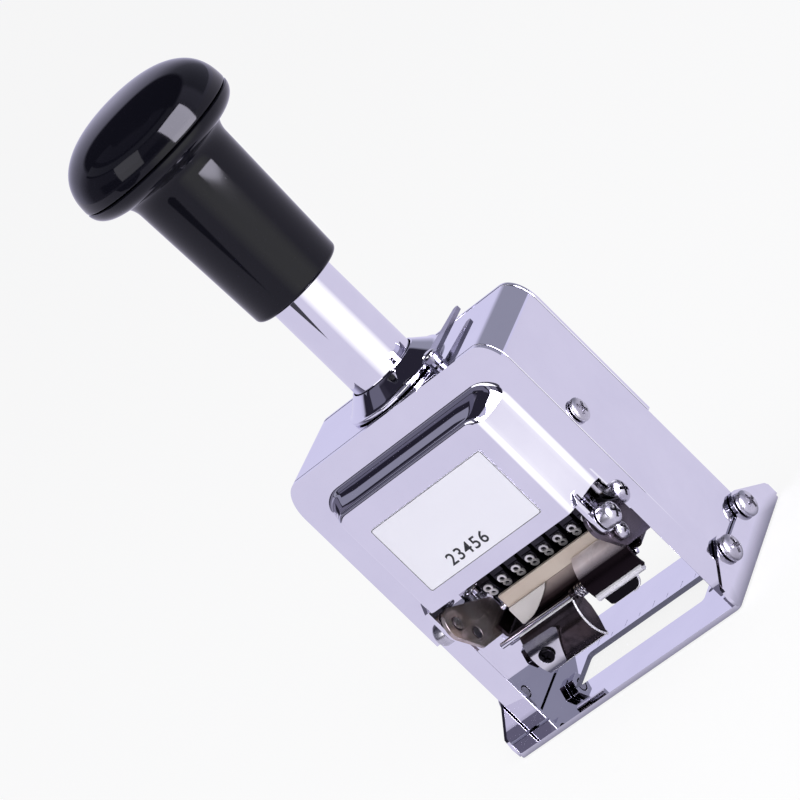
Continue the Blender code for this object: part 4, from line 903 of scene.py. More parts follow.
def makeFoot():
    low, high = corners("foot_plate")
    top = low.z + footLook["thick"]
    window = roundedBox(-footLook["windowX"], footLook["windowX"], footLook["windowFront"],
                        footLook["windowBack"], footLook["windowCorner"])
    hole = circle(footLook["holeX"], footLook["holeY"], footLook["holeRadius"])
    base = plateWork("XY", [roundedBox(low.x, high.x, low.y, high.y, footLook["corner"]), window, hole],
                     low.z, top)
    ears = []
    front, back = middle("foot_screw_right_front"), middle("foot_screw_right_back")
    for _, sign in sides:
        outline = ([(low.y + inward, height) for inward, height in footLook["earFront"]]
                   + bend(front.y, front.z, footLook["earLobe"], 125, 10, 24)
                   + bend(back.y, back.z, footLook["earLobe"], 170, 55, 24)
                   + [(high.y - inward, height) for inward, height in footLook["earBack"]])
        holes = [circle(screw.y, screw.z, screws["bore"]) for screw in (front, back)]
        ears.append(plateWork("YZ", [outline, *holes], sign * footLook["earIn"], sign * high.x))
    ticks = []
    count, width = footLook["ticksEachSide"], footLook["tickWidth"]
    start = footLook["windowBack"] + footLook["tickGap"]
    for i in range(-count, count + 1):
        at = i * footLook["tickPitch"]
        long = footLook["tickLong"] if i % 2 == 0 else footLook["tickShort"]
        ticks.append(boxWork((at - width / 2, start, top - footLook["tickDepth"]),
                             (at + width / 2, start + long, top + footLook["thick"])))
    work = carve(carve(base, ears, "UNION"), ticks)
    bmesh.ops.dissolve_limit(work, angle_limit=nearlyFlat, verts=work.verts, edges=work.edges)
    piece("footPlate", work, "chrome", "case", ["foot_plate"], bevel=footLook["edge"], bevelSteps=3)


# Lock lever and its rivet on the case's top

leverLook = {"hub": 2.1 * mm, "tip": 0.75 * mm, "tipX": 16.8 * mm, "blade": 1.0 * mm, "boss": 1.8 * mm,
             "bore": 1.2 * mm, "rivetFlat": 0.6 * mm, "rivetAcross": 1.0 * mm, "rivetDome": 0.6 * mm,
             "rivetShank": 0.9 * mm}


def makeLever():
    low, high = corners("lock_lever")
    pivot, tip = middle("lever_rivet"), leverLook["tip"]
    under = high.z - leverLook["blade"]
    outline = (bend(pivot.x, pivot.y, leverLook["hub"], 150, 390, 24)
               + bend(leverLook["tipX"], high.y - tip, tip, 10, 170, 12))
    bore = circle(pivot.x, pivot.y, leverLook["bore"])
    blade = plateWork("XY", [outline, bore], under, high.z)
    boss = plateWork("XY", [circle(pivot.x, pivot.y, leverLook["boss"], 48), bore], low.z, under)
    piece("lockLever", merge([blade, boss]), "leverSteel", "lock", ["lock_lever"], bevel=0.2 * mm, bevelSteps=3)
    low, high = corners("lever_rivet")
    dome, shank = leverLook["rivetDome"], leverLook["rivetShank"]
    head = high.z - dome
    profile = ([(0, high.z)]
               + ellipseBend(leverLook["rivetFlat"], head, leverLook["rivetAcross"], dome, 90, 0, 8)
               + [(shank, head), (shank, low.z), (0, low.z)])
    piece("leverRivet", turnedWork(profile, 48, (pivot.x, pivot.y, 0)), "steel", "case", ["lever_rivet"])


# Number wheels: a hub ring with ten raised, mirrored figures, and a ratchet beside it

wheelLook = {"count": 8, "figures": 10, "root": 8.75 * mm, "pad": 9.05 * mm, "radius": 9.5 * mm,
             "bore": 1.9 * mm, "ring": 3.2 * mm, "ratchet": 7.2 * mm, "ratchetRoot": 6.2 * mm, "toothLean": 0.7,
             "figure": 3.7 * mm, "figureWide": 2.2 * mm, "figureThick": 0.4 * mm, "firstDeg": -90,
             "padDeg": 25.0, "padTuckDeg": 2, "padSunk": 0.2 * mm, "padSide": 0.15 * mm}


def wrapFigure(work, x, shaft, turnDeg):
    # lays a flat figure round the rim, mirrored so that it prints the right way round
    highX = max(v.co.x for v in work.verts)
    highY = max(v.co.y for v in work.verts)
    squeeze = min(1, wheelLook["figureWide"] / highX)
    for vert in work.verts:
        radius = wheelLook["radius"] - wheelLook["figureThick"] / 2 + vert.co.z
        turn = math.radians(turnDeg) + (vert.co.y - highY / 2) / wheelLook["radius"]
        vert.co = (x - (vert.co.x - highX / 2) * squeeze, shaft.y + radius * math.cos(turn),
                   shaft.z + radius * math.sin(turn))
    return work


def makeWheels():
    shaft = middle("wheel_shaft")
    sector, half = 360 / wheelLook["figures"], wheelLook["padDeg"] / 2
    root, tuck, edge = (wheelLook[key] for key in ("root", "padTuckDeg", "padSide"))
    bore = circle(shaft.y, shaft.z, wheelLook["bore"])
    for index in range(wheelLook["count"]):
        node = f"number_wheel_{index + 1}"
        low, high = corners(node)
        ringHigh = low.x + wheelLook["ring"]
        ring = plateWork("YZ", [circle(shaft.y, shaft.z, root, 120), bore], low.x, ringHigh)
        teeth = []
        for i in range(wheelLook["figures"]):
            for reach, lean in ((wheelLook["ratchetRoot"], 0), (wheelLook["ratchet"], wheelLook["toothLean"])):
                turn = math.radians(sector * (i + lean) + wheelLook["firstDeg"])
                teeth.append((shaft.y + reach * math.cos(turn), shaft.z + reach * math.sin(turn)))
        works = [ring, plateWork("YZ", [teeth, bore], ringHigh, high.x)]
        figures = []
        for i in range(wheelLook["figures"]):
            at = sector * i + wheelLook["firstDeg"]
            outline = (bend(shaft.y, shaft.z, wheelLook["pad"], at - half, at + half, 6)
                       + bend(shaft.y, shaft.z, root - wheelLook["padSunk"], at + half - tuck,
                              at - half + tuck, 6))
            works.append(plateWork("YZ", [outline], low.x + edge, ringHigh - edge))
            figure = textWork(str(i), wheelLook["figure"], wheelLook["figureThick"], 3)
            figures.append(wrapFigure(figure, (low.x + ringHigh) / 2, shaft, at))
        body = f"wheel_{index + 1}"
        piece(f"numberWheel_{index + 1}", merge(works), "wheelSteel", body, [node], sharp=25)
        piece(f"wheelFigures_{index + 1}", merge(figures), "figureSteel", body, [node], sharp=25)


# Return springs, squashed as the plunger goes down

springLook = {"wire": 0.42 * mm, "radius": 2.5 * mm, "turns": 11, "stepsPerTurn": 24, "closeEnds": 0.07}


def makeSprings():
    wire, radius, steps = (springLook[key] for key in ("wire", "radius", "stepsPerTurn"))
    count = springLook["turns"] * steps
    for side, _ in sides:
        node = "main_spring_" + side
        low, high = corners(node)
        at = middle(node)
        points = []
        for i in range(count + 1):
            # the end turns lie close together
            share = i / count
            eased = share - math.sin(math.tau * share) * springLook["closeEnds"]
            turn = math.tau * i / steps
            points.append((at.x + radius * math.cos(turn), at.y + radius * math.sin(turn),
                           low.z + wire + (high.z - low.z - wire * 2) * eased))
        made = piece("mainSpring_" + side, wireWork(points, wire), "steel", "case", [node], sharp=60)
        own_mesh(made)


# Inside: the crosshead under the stem carries two plates, the shaft with its wheels, the comb and the pawls

innerLook = {"plateLobe": 5.0 * mm, "shaft": 1.6 * mm, "shaftHead": 2.7 * mm, "shaftSeat": 0.6 * mm,
             "shaftEdge": 0.25 * mm, "pitch": 4.24 * mm, "slot": 1.0 * mm, "slotTop": 56.0 * mm,
             "rod": 0.6 * mm, "rodReach": 10.4 * mm, "rodDeg": 4, "ring": 3.1 * mm, "armTip": 1.1 * mm,
             "armSheet": 0.5 * mm, "corner": 2.0 * mm, "guide": 1.5 * mm, "guidePoint": 0.35 * mm,
             "seat": 1.5 * mm}


def makeWheelFrame():
    shaft = middle("wheel_shaft")
    lobe = bend(shaft.y, shaft.z, innerLook["plateLobe"], 180, 360, 40)
    bore = circle(shaft.y, shaft.z, innerLook["shaft"] + fit)
    for side, _ in sides:
        node = "wheel_plate_" + side
        low, high = corners(node)
        work = plateWork("YZ", [lobe + [(high.y, high.z), (low.y, high.z)], bore], low.x, high.x)
        piece("wheelPlate_" + side, work, "steel", "plunger", [node], bevel=0.15 * mm)
    end = corners("wheel_shaft")[1].x
    head, edge, seat = innerLook["shaftHead"], innerLook["shaftEdge"], end - innerLook["shaftSeat"]
    half = [(0, end)] + bend(head - edge, end - edge, edge, 90, 0, 4) + [(head, seat), (innerLook["shaft"], seat)]
    profile = half + [(r, -h) for r, h in reversed(half)]
    piece("wheelShaft", turnedWork(profile, 56, (0, shaft.y, shaft.z), (1, 0, 0)), "steel", "plunger",
          ["wheel_shaft"])

    low, high = corners("detent_comb")
    slot, pitch, slotTop = (innerLook[key] for key in ("slot", "pitch", "slotTop"))
    tooth = (pitch - slot) / 2
    outline = [(high.x, high.z), (low.x, high.z), (low.x, slotTop)]
    for i in range(wheelLook["count"]):
        centre = low.x + pitch * i + slot / 2 + tooth
        outline.append((centre - tooth, slotTop))
        outline += bend(centre, low.z + tooth, tooth, 180, 360, 12)
        outline.append((centre + tooth, slotTop))
    outline.append((high.x, slotTop))
    piece("detentComb", plateWork("XZ", [outline], low.y, high.y), "brass", "plunger", ["detent_comb"],
          bevel=0.08 * mm)

    low, high = corners("pawl_carrier")
    rodDeg, rodReach = math.radians(innerLook["rodDeg"]), innerLook["rodReach"]
    rodAt = (shaft.y + rodReach * math.cos(rodDeg), shaft.z + rodReach * math.sin(rodDeg))
    works = [wireWork([(low.x, *rodAt), (high.x, *rodAt)], innerLook["rod"], 4)]
    arm = (bend(shaft.y, shaft.z, innerLook["ring"], 70, 290, 28)
           + bend(*rodAt, innerLook["armTip"], -70, 70, 12))
    for _, sign in sides:
        outX = high.x if sign > 0 else low.x
        inX = outX - sign * innerLook["armSheet"]
        works.append(plateWork("YZ", [arm, bore], min(outX, inX), max(outX, inX)))
    piece("pawlCarrier", merge(works), "steel", "pawls", ["pawl_carrier"], bevel=0.07 * mm)


def makeGuides():
    low, high = corners("crosshead")
    radius, point, thick = (innerLook[key] for key in ("guide", "guidePoint", "seat"))
    rods = {side: middle("guide_rod_" + side) for side, _ in sides}
    holes = [circle(at.x, at.y, radius + fit, 48) for at in rods.values()]
    work = plateWork("XY", [roundedBox(low.x, high.x, low.y, high.y, innerLook["corner"]), *holes],
                     low.z, high.z)
    piece("crosshead", work, "steel", "plunger", ["crosshead"], bevel=0.3 * mm, bevelSteps=3)
    for side, sign in sides:
        at, node = rods[side], "guide_rod_" + side
        low, high = corners(node)
        profile = [(0, high.z), (radius - point, high.z), (radius, high.z - point), (radius, low.z + point),
                   (radius - point, low.z), (0, low.z)]
        piece("guideRod_" + side, turnedWork(profile, 40, (at.x, at.y, 0)), "chrome", "case", [node])
        node = "spring_seat_" + side
        low, high = corners(node)
        outer, near = (high.x, low.x) if sign > 0 else (low.x, high.x)
        outline = [(near, high.z), (outer, high.z), (outer, low.z), (outer - sign * thick, low.z),
                   (outer - sign * thick, high.z - thick), (near, high.z - thick)]
        seat = plateWork("XZ", [outline if sign > 0 else outline[::-1]], low.y, high.y)
        bore = drillWork(radius + fit, (at.x, at.y, high.z), steps=32)
        piece("springSeat_" + side, carve(seat, [bore]), "steel", "case", [node], bevel=0.15 * mm)


# Ink pad bracket: two arms, a tray and a hood in bronze, a cream frame with its tongue, and a sprung grip

# the right arm's darker bronze is painted shade
padLook = {"armLobe": 4.0 * mm, "armEdge": 0.18 * mm, "armKnee": [(-17.55 * mm, 24.7 * mm), (-16.9 * mm, 24.0 * mm)],
           "armFoot": 1.2 * mm, "armHeel": 1.6 * mm, "armHeelTop": 28.3 * mm,
           "armFinish": {"left": "bronze", "right": "armBronze"}, "pin": 0.7 * mm, "pinEdge": 0.25 * mm,
           "sheet": 0.8 * mm, "traySide": 1.4 * mm, "frameSheet": 0.9 * mm, "frameBend": 0.7 * mm,
           "frameStep": 26.0 * mm, "frameEnd": 0.2 * mm, "shadeSheetIn": 0.25 * mm, "shadeSheetRoom": 0.05 * mm,
           "lip": 0.522 * mm, "lipRise": 0.18 * mm, "rivetBall": 0.85 * mm, "rivetIn": 0.54 * mm,
           "rivetZ": 26.8 * mm, "rivetReach": 0.6 * mm, "curl": 1.3 * mm, "curlWire": 0.26 * mm, "curls": 3.4,
           "curlSteps": 20}


def arcSheet(lowX, highX, y, z, radius, sheet, fromDeg, toDeg, steps=28):
    outline = bend(y, z, radius, fromDeg, toDeg, steps) + bend(y, z, radius - sheet, toDeg, fromDeg, steps)
    return plateWork("YZ", [outline], lowX, highX)


def wrapWork(outline, y, z, radius, sheet, pitch=2.5):
    # an outline of (x, degrees) laid round an axis that runs along x
    flat = [(x, math.radians(deg) * radius) for x, deg in outline]
    work = plateWork("XY", [flat], 0, sheet)
    low, high = min(v for _, v in flat), max(v for _, v in flat)
    step = math.radians(pitch) * radius
    for i in range(1, int((high - low) / step) + 1):
        bmesh.ops.bisect_plane(work, geom=[*work.verts, *work.edges, *work.faces], dist=tiny,
                               plane_co=(0, low + step * i, 0), plane_no=(0, 1, 0))
    for vert in work.verts:
        turn = vert.co.y / radius
        out = radius + vert.co.z
        vert.co = (vert.co.x, y + out * math.cos(turn), z + out * math.sin(turn))
    return work


def makePadArms():
    pivot, pinAt = middle("pivot_screw_left"), middle("latch_pin")
    foot, heel, heelTop = (padLook[key] for key in ("armFoot", "armHeel", "armHeelTop"))
    for side, sign in sides:
        node = "pad_arm_" + side
        low, high = corners(node)
        screwAt = middle("arm_screw_" + side)
        outline = (bend(pivot.y, pivot.z, padLook["armLobe"], 60, 200, 44) + padLook["armKnee"]
                   + bend(high.y - foot, low.z + foot, foot, 265, 360, 8)
                   + bend(high.y - heel, heelTop - heel, heel, 0, 75, 8))
        bores = [circle(pivot.y, pivot.z, screws["pivot"]["bore"]), circle(screwAt.y, screwAt.z, screws["bore"])]
        piece("padArm_" + side, plateWork("YZ", [outline, *bores], low.x, high.x), padLook["armFinish"][side],
              "pad_bracket", [node], bevel=padLook["armEdge"], bevelSteps=3)
        name, look = "arm_screw_" + side, screws["arm"]
        setScrew("armScrew_" + side, name, look, sideHead(name, look, sign), (sign, 0, 0), "screwSteel",
                 "pad_bracket", look["spin"])
    low, high = corners("latch_pin")
    radius, edge = padLook["pin"], padLook["pinEdge"]
    profile = ([(0, high.x)] + bend(radius - edge, high.x - edge, edge, 80, 0, 4)
               + bend(radius - edge, low.x + edge, edge, 0, -80, 4) + [(0, low.x)])
    piece("latchPin", turnedWork(profile, 40, (0, pinAt.y, pinAt.z), (1, 0, 0)), "chrome", "pad_bracket",
          ["latch_pin"])


def makeTray():
    low, high = corners("pad_tray")
    sheet, side = padLook["sheet"], padLook["traySide"]
    left, right, under = low.x + side, high.x - side, low.z + side
    outer = ([(high.x, high.z), (high.x, under)] + bend(right, under, side, 0, -90, 6)[1:]
             + bend(left, under, side, -90, -180, 6) + [(low.x, high.z)])
    inner = ([(low.x + sheet, high.z)] + bend(left, under, side - sheet, 180, 270, 6)
             + bend(right, under, side - sheet, -90, 0, 6) + [(high.x - sheet, high.z)])
    work = plateWork("XZ", [outer + inner], low.y, high.y)
    back = boxWork((low.x + sheet / 2, high.y - sheet, low.z + sheet / 2),
                   (high.x - sheet / 2, high.y, high.z))
    piece("padTray", carve(work, [back], "UNION"), "darkBronze", "pad_bracket", ["pad_tray"],
          bevel=0.14 * mm)


# the tongue's lower edge runs so far in from its left foot, then from its right end
tongueLook = {"foot": 0.35 * mm, "corner": 0.5 * mm, "lower": ((3.2 * mm, 0.35 * mm), (5.2 * mm, 1.05 * mm)),
              "upper": ((3.0 * mm, 2.1 * mm), (1.2 * mm, 0.95 * mm))}


def makeFrame():
    low, high = corners("pad_frame")
    sheet, turn, step, end = (padLook[key] for key in ("frameSheet", "frameBend", "frameStep", "frameEnd"))
    wall = plateWork("YZ", [[(low.y, high.z), (low.y, step), (low.y + sheet, step), (low.y + sheet, high.z)]],
                     low.x, high.x)
    piece("padFrame", wall, "cream", "pad_bracket", ["pad_frame"], bevel=0.2 * mm, bevelSteps=3)
    # under the cream wall a dark sheet turns in beneath the felt: painted shade, darker towards the bottom
    front, top = low.y + padLook["shadeSheetIn"], step - padLook["shadeSheetRoom"]
    turnY, turnZ = front + turn + sheet, low.z + turn + sheet
    outer = [(front, top)] + bend(turnY, turnZ, turn + sheet, 180, 270, 8) + [(high.y, low.z)]
    inner = [(high.y, low.z + sheet)] + bend(turnY, turnZ, turn, 270, 180, 8) + [(front + sheet, top)]
    piece("padShadeSheet", plateWork("YZ", [outer + inner], low.x + end, high.x - end), "paintedShadeBronze", "pad_bracket",
          ["pad_frame"], bevel=0.12 * mm)
    # a lip along the front wall's top, and a small rivet with a ball head at its left end
    lipY = low.y + sheet / 2
    lip = wireWork([(low.x + end, lipY, high.z), (high.x - end, lipY, high.z)], padLook["lip"])
    for vert in lip.verts:
        vert.co.z = min(vert.co.z, high.z + padLook["lipRise"])
    piece("padFrameLip", lip, "cream", "pad_bracket", ["pad_frame"])
    ball, reach = padLook["rivetBall"], padLook["rivetReach"]
    profile = [(0, ball * 2)] + bend(0, ball, ball, 80, -60, 12) + [(ball / 2, -reach), (0, -reach)]
    rivet = turnedWork(profile, 32, (low.x, low.y + padLook["rivetIn"], padLook["rivetZ"]), (-1, 0, 0))
    piece("frameRivet", rivet, "chrome", "pad_bracket", ["pad_frame"])

    low, high = corners("frame_tongue")
    corner = tongueLook["corner"]
    leaf = ([(high.x - tongueLook["foot"], high.z)]
            + bend(low.x + corner, high.z - corner, corner, 90, 180, 6)
            + bend(low.x + corner, low.z + corner, corner, 180, 285, 6)
            + [(low.x + inward, low.z + rise) for inward, rise in tongueLook["lower"]]
            + [(high.x - inward, high.z - drop) for inward, drop in tongueLook["upper"]])
    piece("frameTongue", plateWork("XZ", [leaf], low.y, high.y), "pale", "pad_bracket", ["frame_tongue"],
          bevel=0.16 * mm, bevelSteps=3)


feltPad = {"corner": 0.9 * mm, "longEdge": 1.2 * mm, "cells": (46, 20), "nap": 0.05 * mm, "napX": 1480,
           "napY": 1200, "rim": 0.9 * mm, "rimDrop": 0.35 * mm}


def makeFelt():
    low, high = corners("ink_felt")
    work = plateWork("XY", [roundedBox(low.x, high.x, low.y, high.y, feltPad["corner"], 4)], low.z, high.z)
    edges = [e for e in work.edges if e.calc_length() > feltPad["longEdge"]]
    bmesh.ops.subdivide_edges(work, edges=edges, cuts=2, use_grid_fill=True)
    for axis, cells in enumerate(feltPad["cells"]):
        across = Vector((1, 0, 0)) if axis == 0 else Vector((0, 1, 0))
        for i in range(1, cells):
            bmesh.ops.bisect_plane(work, geom=[*work.verts, *work.edges, *work.faces], dist=tiny,
                                   plane_co=across * (low[axis] + (high[axis] - low[axis]) * i / cells),
                                   plane_no=across)
    # the felt is a little lower at its rim, and its top is uneven where the figures rest
    for vert in work.verts:
        x, y, z = vert.co
        if z > (low.z + high.z) / 2:
            rim = min(x - low.x, high.x - x, y - low.y, high.y - y)
            worn = math.sin(x * feltPad["napX"]) * math.sin(y * feltPad["napY"])
            vert.co.z -= (feltPad["rimDrop"] * max(0, 1 - rim / feltPad["rim"]) ** 2
                          + feltPad["nap"] * (1 + worn))
    made = piece("inkFelt", work, "felt", "pad_bracket", ["ink_felt"], sharp=80)


hood = {"y": -9.0 * mm, "z": 20.5 * mm, "radius": 7.0 * mm, "from": 114, "to": 202, "rise": 0.1 * mm,
        "bead": 0.9 * mm, "beadOut": 0.35 * mm, "beadLeft": 0.5 * mm, "beadRight": 0.6 * mm}


def makeHood():
    low, high = corners("tray_hood")
    sheet, arc = padLook["sheet"], (hood["y"], hood["z"])
    outer = bend(*arc, hood["radius"], hood["from"], hood["to"], 40)
    inner = bend(*arc, hood["radius"] - sheet, hood["to"], hood["from"], 40)
    top = outer[0][1]
    outline = [(high.y, top + hood["rise"])] + outer + inner + [(high.y, top - sheet)]
    # the hood's bronze carries a painted highlight on top and painted shade below
    piece("trayHood", plateWork("YZ", [outline], low.x, high.x), "hoodBronze", "pad_bracket", ["tray_hood"],
          bevel=0.16 * mm, bevelSteps=3)
    # a rolled bead along the hood's lower edge, in the pale rim finish that paints a highlight on it
    end = bend(*arc, hood["radius"] - sheet / 2 + hood["beadOut"], hood["to"], hood["to"], 1)[0]
    bead = wireWork([(low.x + hood["beadLeft"], *end), (high.x - hood["beadRight"], *end)], hood["bead"], 5)
    piece("hoodBead", bead, "paintedHighlightRim", "pad_bracket", ["tray_hood"])


# the worn plate's edge is given as places along the grip and degrees round it
gripLook = {"y": -10.5 * mm, "z": 15.6 * mm, "radius": 7.4 * mm, "from": 132, "to": 226, "ear": 1.45 * mm,
            "earSheet": 0.7 * mm, "earFrom": 136, "earRoom": 0.1 * mm,
            "earBack": [(-13.4 * mm, 13.6 * mm), (-12.3 * mm, 16.2 * mm), (-12.0 * mm, 18.4 * mm)],
            "rim": 0.24 * mm, "endRim": 0.46 * mm, "endRimDeg": 1, "endRimGap": 0.1 * mm, "lift": 0.3 * mm,
            "plate": 0.6 * mm, "plateIn": 0.3 * mm, "plateFrom": 150, "plateTo": 214,
            "plateEdge": [(-5.4 * mm, 152), (-4.4 * mm, 156), (-4.6 * mm, 162), (-8.6 * mm, 210),
                          (-9.6 * mm, 214)],
            "screwX": -10.4 * mm, "screwDeg": 182}


def makeGrip():
    low, high = corners("tray_grip")
    y, z, radius, degFrom, degTo = (gripLook[key] for key in ("y", "z", "radius", "from", "to"))
    sheet, pinAt = padLook["sheet"], middle("latch_pin")
    middleRadius = radius - sheet / 2
    shell = arcSheet(low.x, high.x, y, z, radius, sheet, degFrom, degTo)
    flangeTop = corners("pad_tray")[0].z - fit
    rise = math.asin((flangeTop - sheet / 2 - z) / middleRadius)
    flange = boxWork((low.x, y - middleRadius * math.cos(rise), flangeTop - sheet), (high.x, high.y, flangeTop))
    turn = math.radians(gripLook["screwDeg"])
    out = Vector((0, math.cos(turn), math.sin(turn)))
    hub = Vector((gripLook["screwX"], y, z))
    shell = carve(carve(shell, [flange], "UNION"), [drillWork(screws["bore"], hub + out * radius, out)])
    piece("trayGrip", shell, "darkBronze", "pad_bracket", ["tray_grip"], bevel=0.14 * mm, bevelSteps=3)

    # an ear at the grip's right end reaches up round the pin
    arc = bend(y, z, radius, gripLook["earFrom"], degTo, 28)
    outline = bend(pinAt.y, pinAt.z, gripLook["ear"], 10, 160, 16) + arc + gripLook["earBack"]
    hole = circle(pinAt.y, pinAt.z, padLook["pin"] + gripLook["earRoom"])
    ear = plateWork("YZ", [outline, hole], high.x - gripLook["earSheet"], high.x)
    piece("gripEar", ear, "darkBronze", "pad_bracket", ["tray_grip"], bevel=0.14 * mm, bevelSteps=3)
    # wires along the grip's edges stand for rolled edges, and their pale finish paints highlight lines on them
    rims = []
    for deg in (degFrom + gripLook["endRimDeg"], degTo - gripLook["endRimDeg"]):
        at = bend(y, z, middleRadius, deg, deg, 1)[0]
        rims.append(wireWork([(low.x + gripLook["endRimGap"], *at), (high.x, *at)], gripLook["endRim"], 4))
    rims.append(wireWork([(high.x, *at) for at in arc], gripLook["rim"]))
    piece("gripRims", merge(rims), "paintedHighlightRim", "pad_bracket", ["tray_grip"])

    seat = radius + gripLook["lift"]
    left = low.x + gripLook["plateIn"]
    worn = [(left, gripLook["plateFrom"]), *gripLook["plateEdge"], (left, gripLook["plateTo"])]
    plate = carve(wrapWork(worn, y, z, seat, gripLook["plate"]), [drillWork(screws["bore"], hub + out * seat, out)])
    piece("gripPlate", plate, "steel", "pad_bracket", ["grip_plate"], bevel=0.12 * mm)
    head = seat + gripLook["plate"] + gripLook["lift"]
    setScrew("gripScrew", "grip_screw", screws["grip"], hub + out * head, out, "darkSteel", "pad_bracket",
             screws["grip"]["spin"])


tabLook = {"x": 13.4 * mm, "z": 16.6 * mm, "radius": 2.6 * mm, "sheet": 1.0 * mm, "heelIn": 0.5 * mm,
           "heelRise": 0.4 * mm, "footIn": 1.2 * mm, "rim": 0.30 * mm, "rimIn": 0.35 * mm, "rimOut": 0.02 * mm}


def makeReleaseTab():
    low, high = corners("release_tab")
    x, z, radius, sheet = (tabLook[key] for key in ("x", "z", "radius", "sheet"))
    outline = (bend(x, z, radius, -90, 90, 28)
               + [(low.x, z + radius), (low.x + tabLook["heelIn"], z - radius + tabLook["heelRise"]),
                  (low.x + tabLook["footIn"], z - radius)])
    tab = plateWork("XZ", [outline], low.y, low.y + sheet)
    stem = boxWork((low.x, low.y + sheet / 2, high.z - sheet), (x, high.y, high.z))
    piece("releaseTab", merge([tab, stem]), "darkSteel", "pad_bracket", ["release_tab"], bevel=0.2 * mm,
          bevelSteps=3)
    # a pale wire round the tab's lower right only is a painted highlight
    rim = [(u, low.y + tabLook["rimIn"], v) for u, v in bend(x, z, radius + tabLook["rimOut"], -100, 25, 26)]
    piece("releaseTabHighlight", wireWork(rim, tabLook["rim"]), "paintedHighlightRim", "pad_bracket", ["release_tab"])


def makeLatchSpring():
    low, high = corners("latch_spring")
    pinAt = middle("latch_pin")
    curl, wire, steps = (padLook[key] for key in ("curl", "curlWire", "curlSteps"))
    start, end = low.x + wire, high.x - wire
    count = int(padLook["curls"] * steps)
    points = []
    for i in range(count + 1):
        turn = math.tau * i / steps - math.pi / 2
        points.append((start + (end - start) * i / count, pinAt.y + curl * math.cos(turn),
                       pinAt.z + curl * math.sin(turn)))
    piece("latchSpring", wireWork(points, wire), "steel", "pad_bracket", ["latch_spring"])


# Camera: the photograph looks down a little, from the front and the right, and is rolled to the left

def makeCamera():
    azimuth, elevation, roll = (math.radians(view[key]) for key in ("azimuth", "elevation", "roll"))
    back = Vector((math.sin(azimuth) * math.cos(elevation), -math.cos(azimuth) * math.cos(elevation),
                   math.sin(elevation)))
    right = Vector((math.cos(azimuth), math.sin(azimuth), 0))
    up = back.cross(right)
    across = right * math.cos(roll) + up * math.sin(roll)
    upright = up * math.cos(roll) - right * math.sin(roll)
    data = bpy.data.cameras.new("camera")
    data.sensor_width = view["sensor"]
    data.lens = view["focal"] / view["picture"] * view["sensor"]
    data.shift_x = -view["shiftX"] / view["picture"]
    data.shift_y = view["shiftY"] / view["picture"]
    data.clip_start = view["near"]
    data.clip_end = view["far"]
    camera = bpy.data.objects.new("camera", data)
    camera.matrix_world = Matrix((across, upright, back)).transposed().to_4x4()
    camera.location = (Vector((view["aimX"], 0, view["aimZ"])) + back * view["distance"]) * mm
    bpy.context.scene.collection.objects.link(camera)
    bpy.context.scene.camera = camera


# Stage: a pale floor and surround, in whose darker stretches the plated metal finds its edges

stage = {"floor": (0.86, 0.86, 0.88), "floorHalf": 3, "floorDrop": 0.4 * mm, "seenWhite": 0.85,
         "glossTint": (0.745, 0.715, 0.90), "glossShare": 0.95, "sector": (0.788, -0.616),
         "sectorSpread": (0.74, 0.95), "glow": 1.45, "glowSpread": (0.09, 0.20), "streak": (-0.371, -0.928),
         "streakFrom": 0.370, "streakLean": 0.42, "under": (0.13, 0.13, 0.18), "footX": 0.036,
         "footY": 0.024, "soft": 0.004, "diffuse": (0.50, 0.50, 0.52), "high": (0.71, 0.69, 0.93),
         "dim": (0.19, 0.18, 0.25), "panel": (0.31, 0.31, 0.41), "dark": (0.022, 0.020, 0.034),
         "ledgeGrey": (0.33, 0.33, 0.42), "ledgeShade": (0.15, 0.145, 0.21), "aim": (0, 0, 0.10)}
# the surround's tones change along these stretches of a ray's direction
surround = {"behind": (-0.15, 0.25), "gapFoot": (0.0, 0.01), "gapTop": (0.20, 0.26), "gapEnd": (-0.55, -0.45),
            "panelX": (-0.32, -0.02), "panelY": (0.50, 0.60), "panelZ": (0.02, 0.03),
            "ceilingY": (-0.32, -0.20), "ceilingZ": (0.56, 0.62), "bandEnd": (-0.02, 0.0), "bandEdge": 0.01,
            "bands": ((0.50, 0.54, "dark"), (0.54, 0.69, "ledgeGrey"), (0.69, 0.76, "dark"),
                      (0.76, 0.92, "ledgeShade"))}


def lightPath(shade, name):
    node = shade.add("ShaderNodeLightPath").link.node
    return Sock(shade, node.outputs[name])


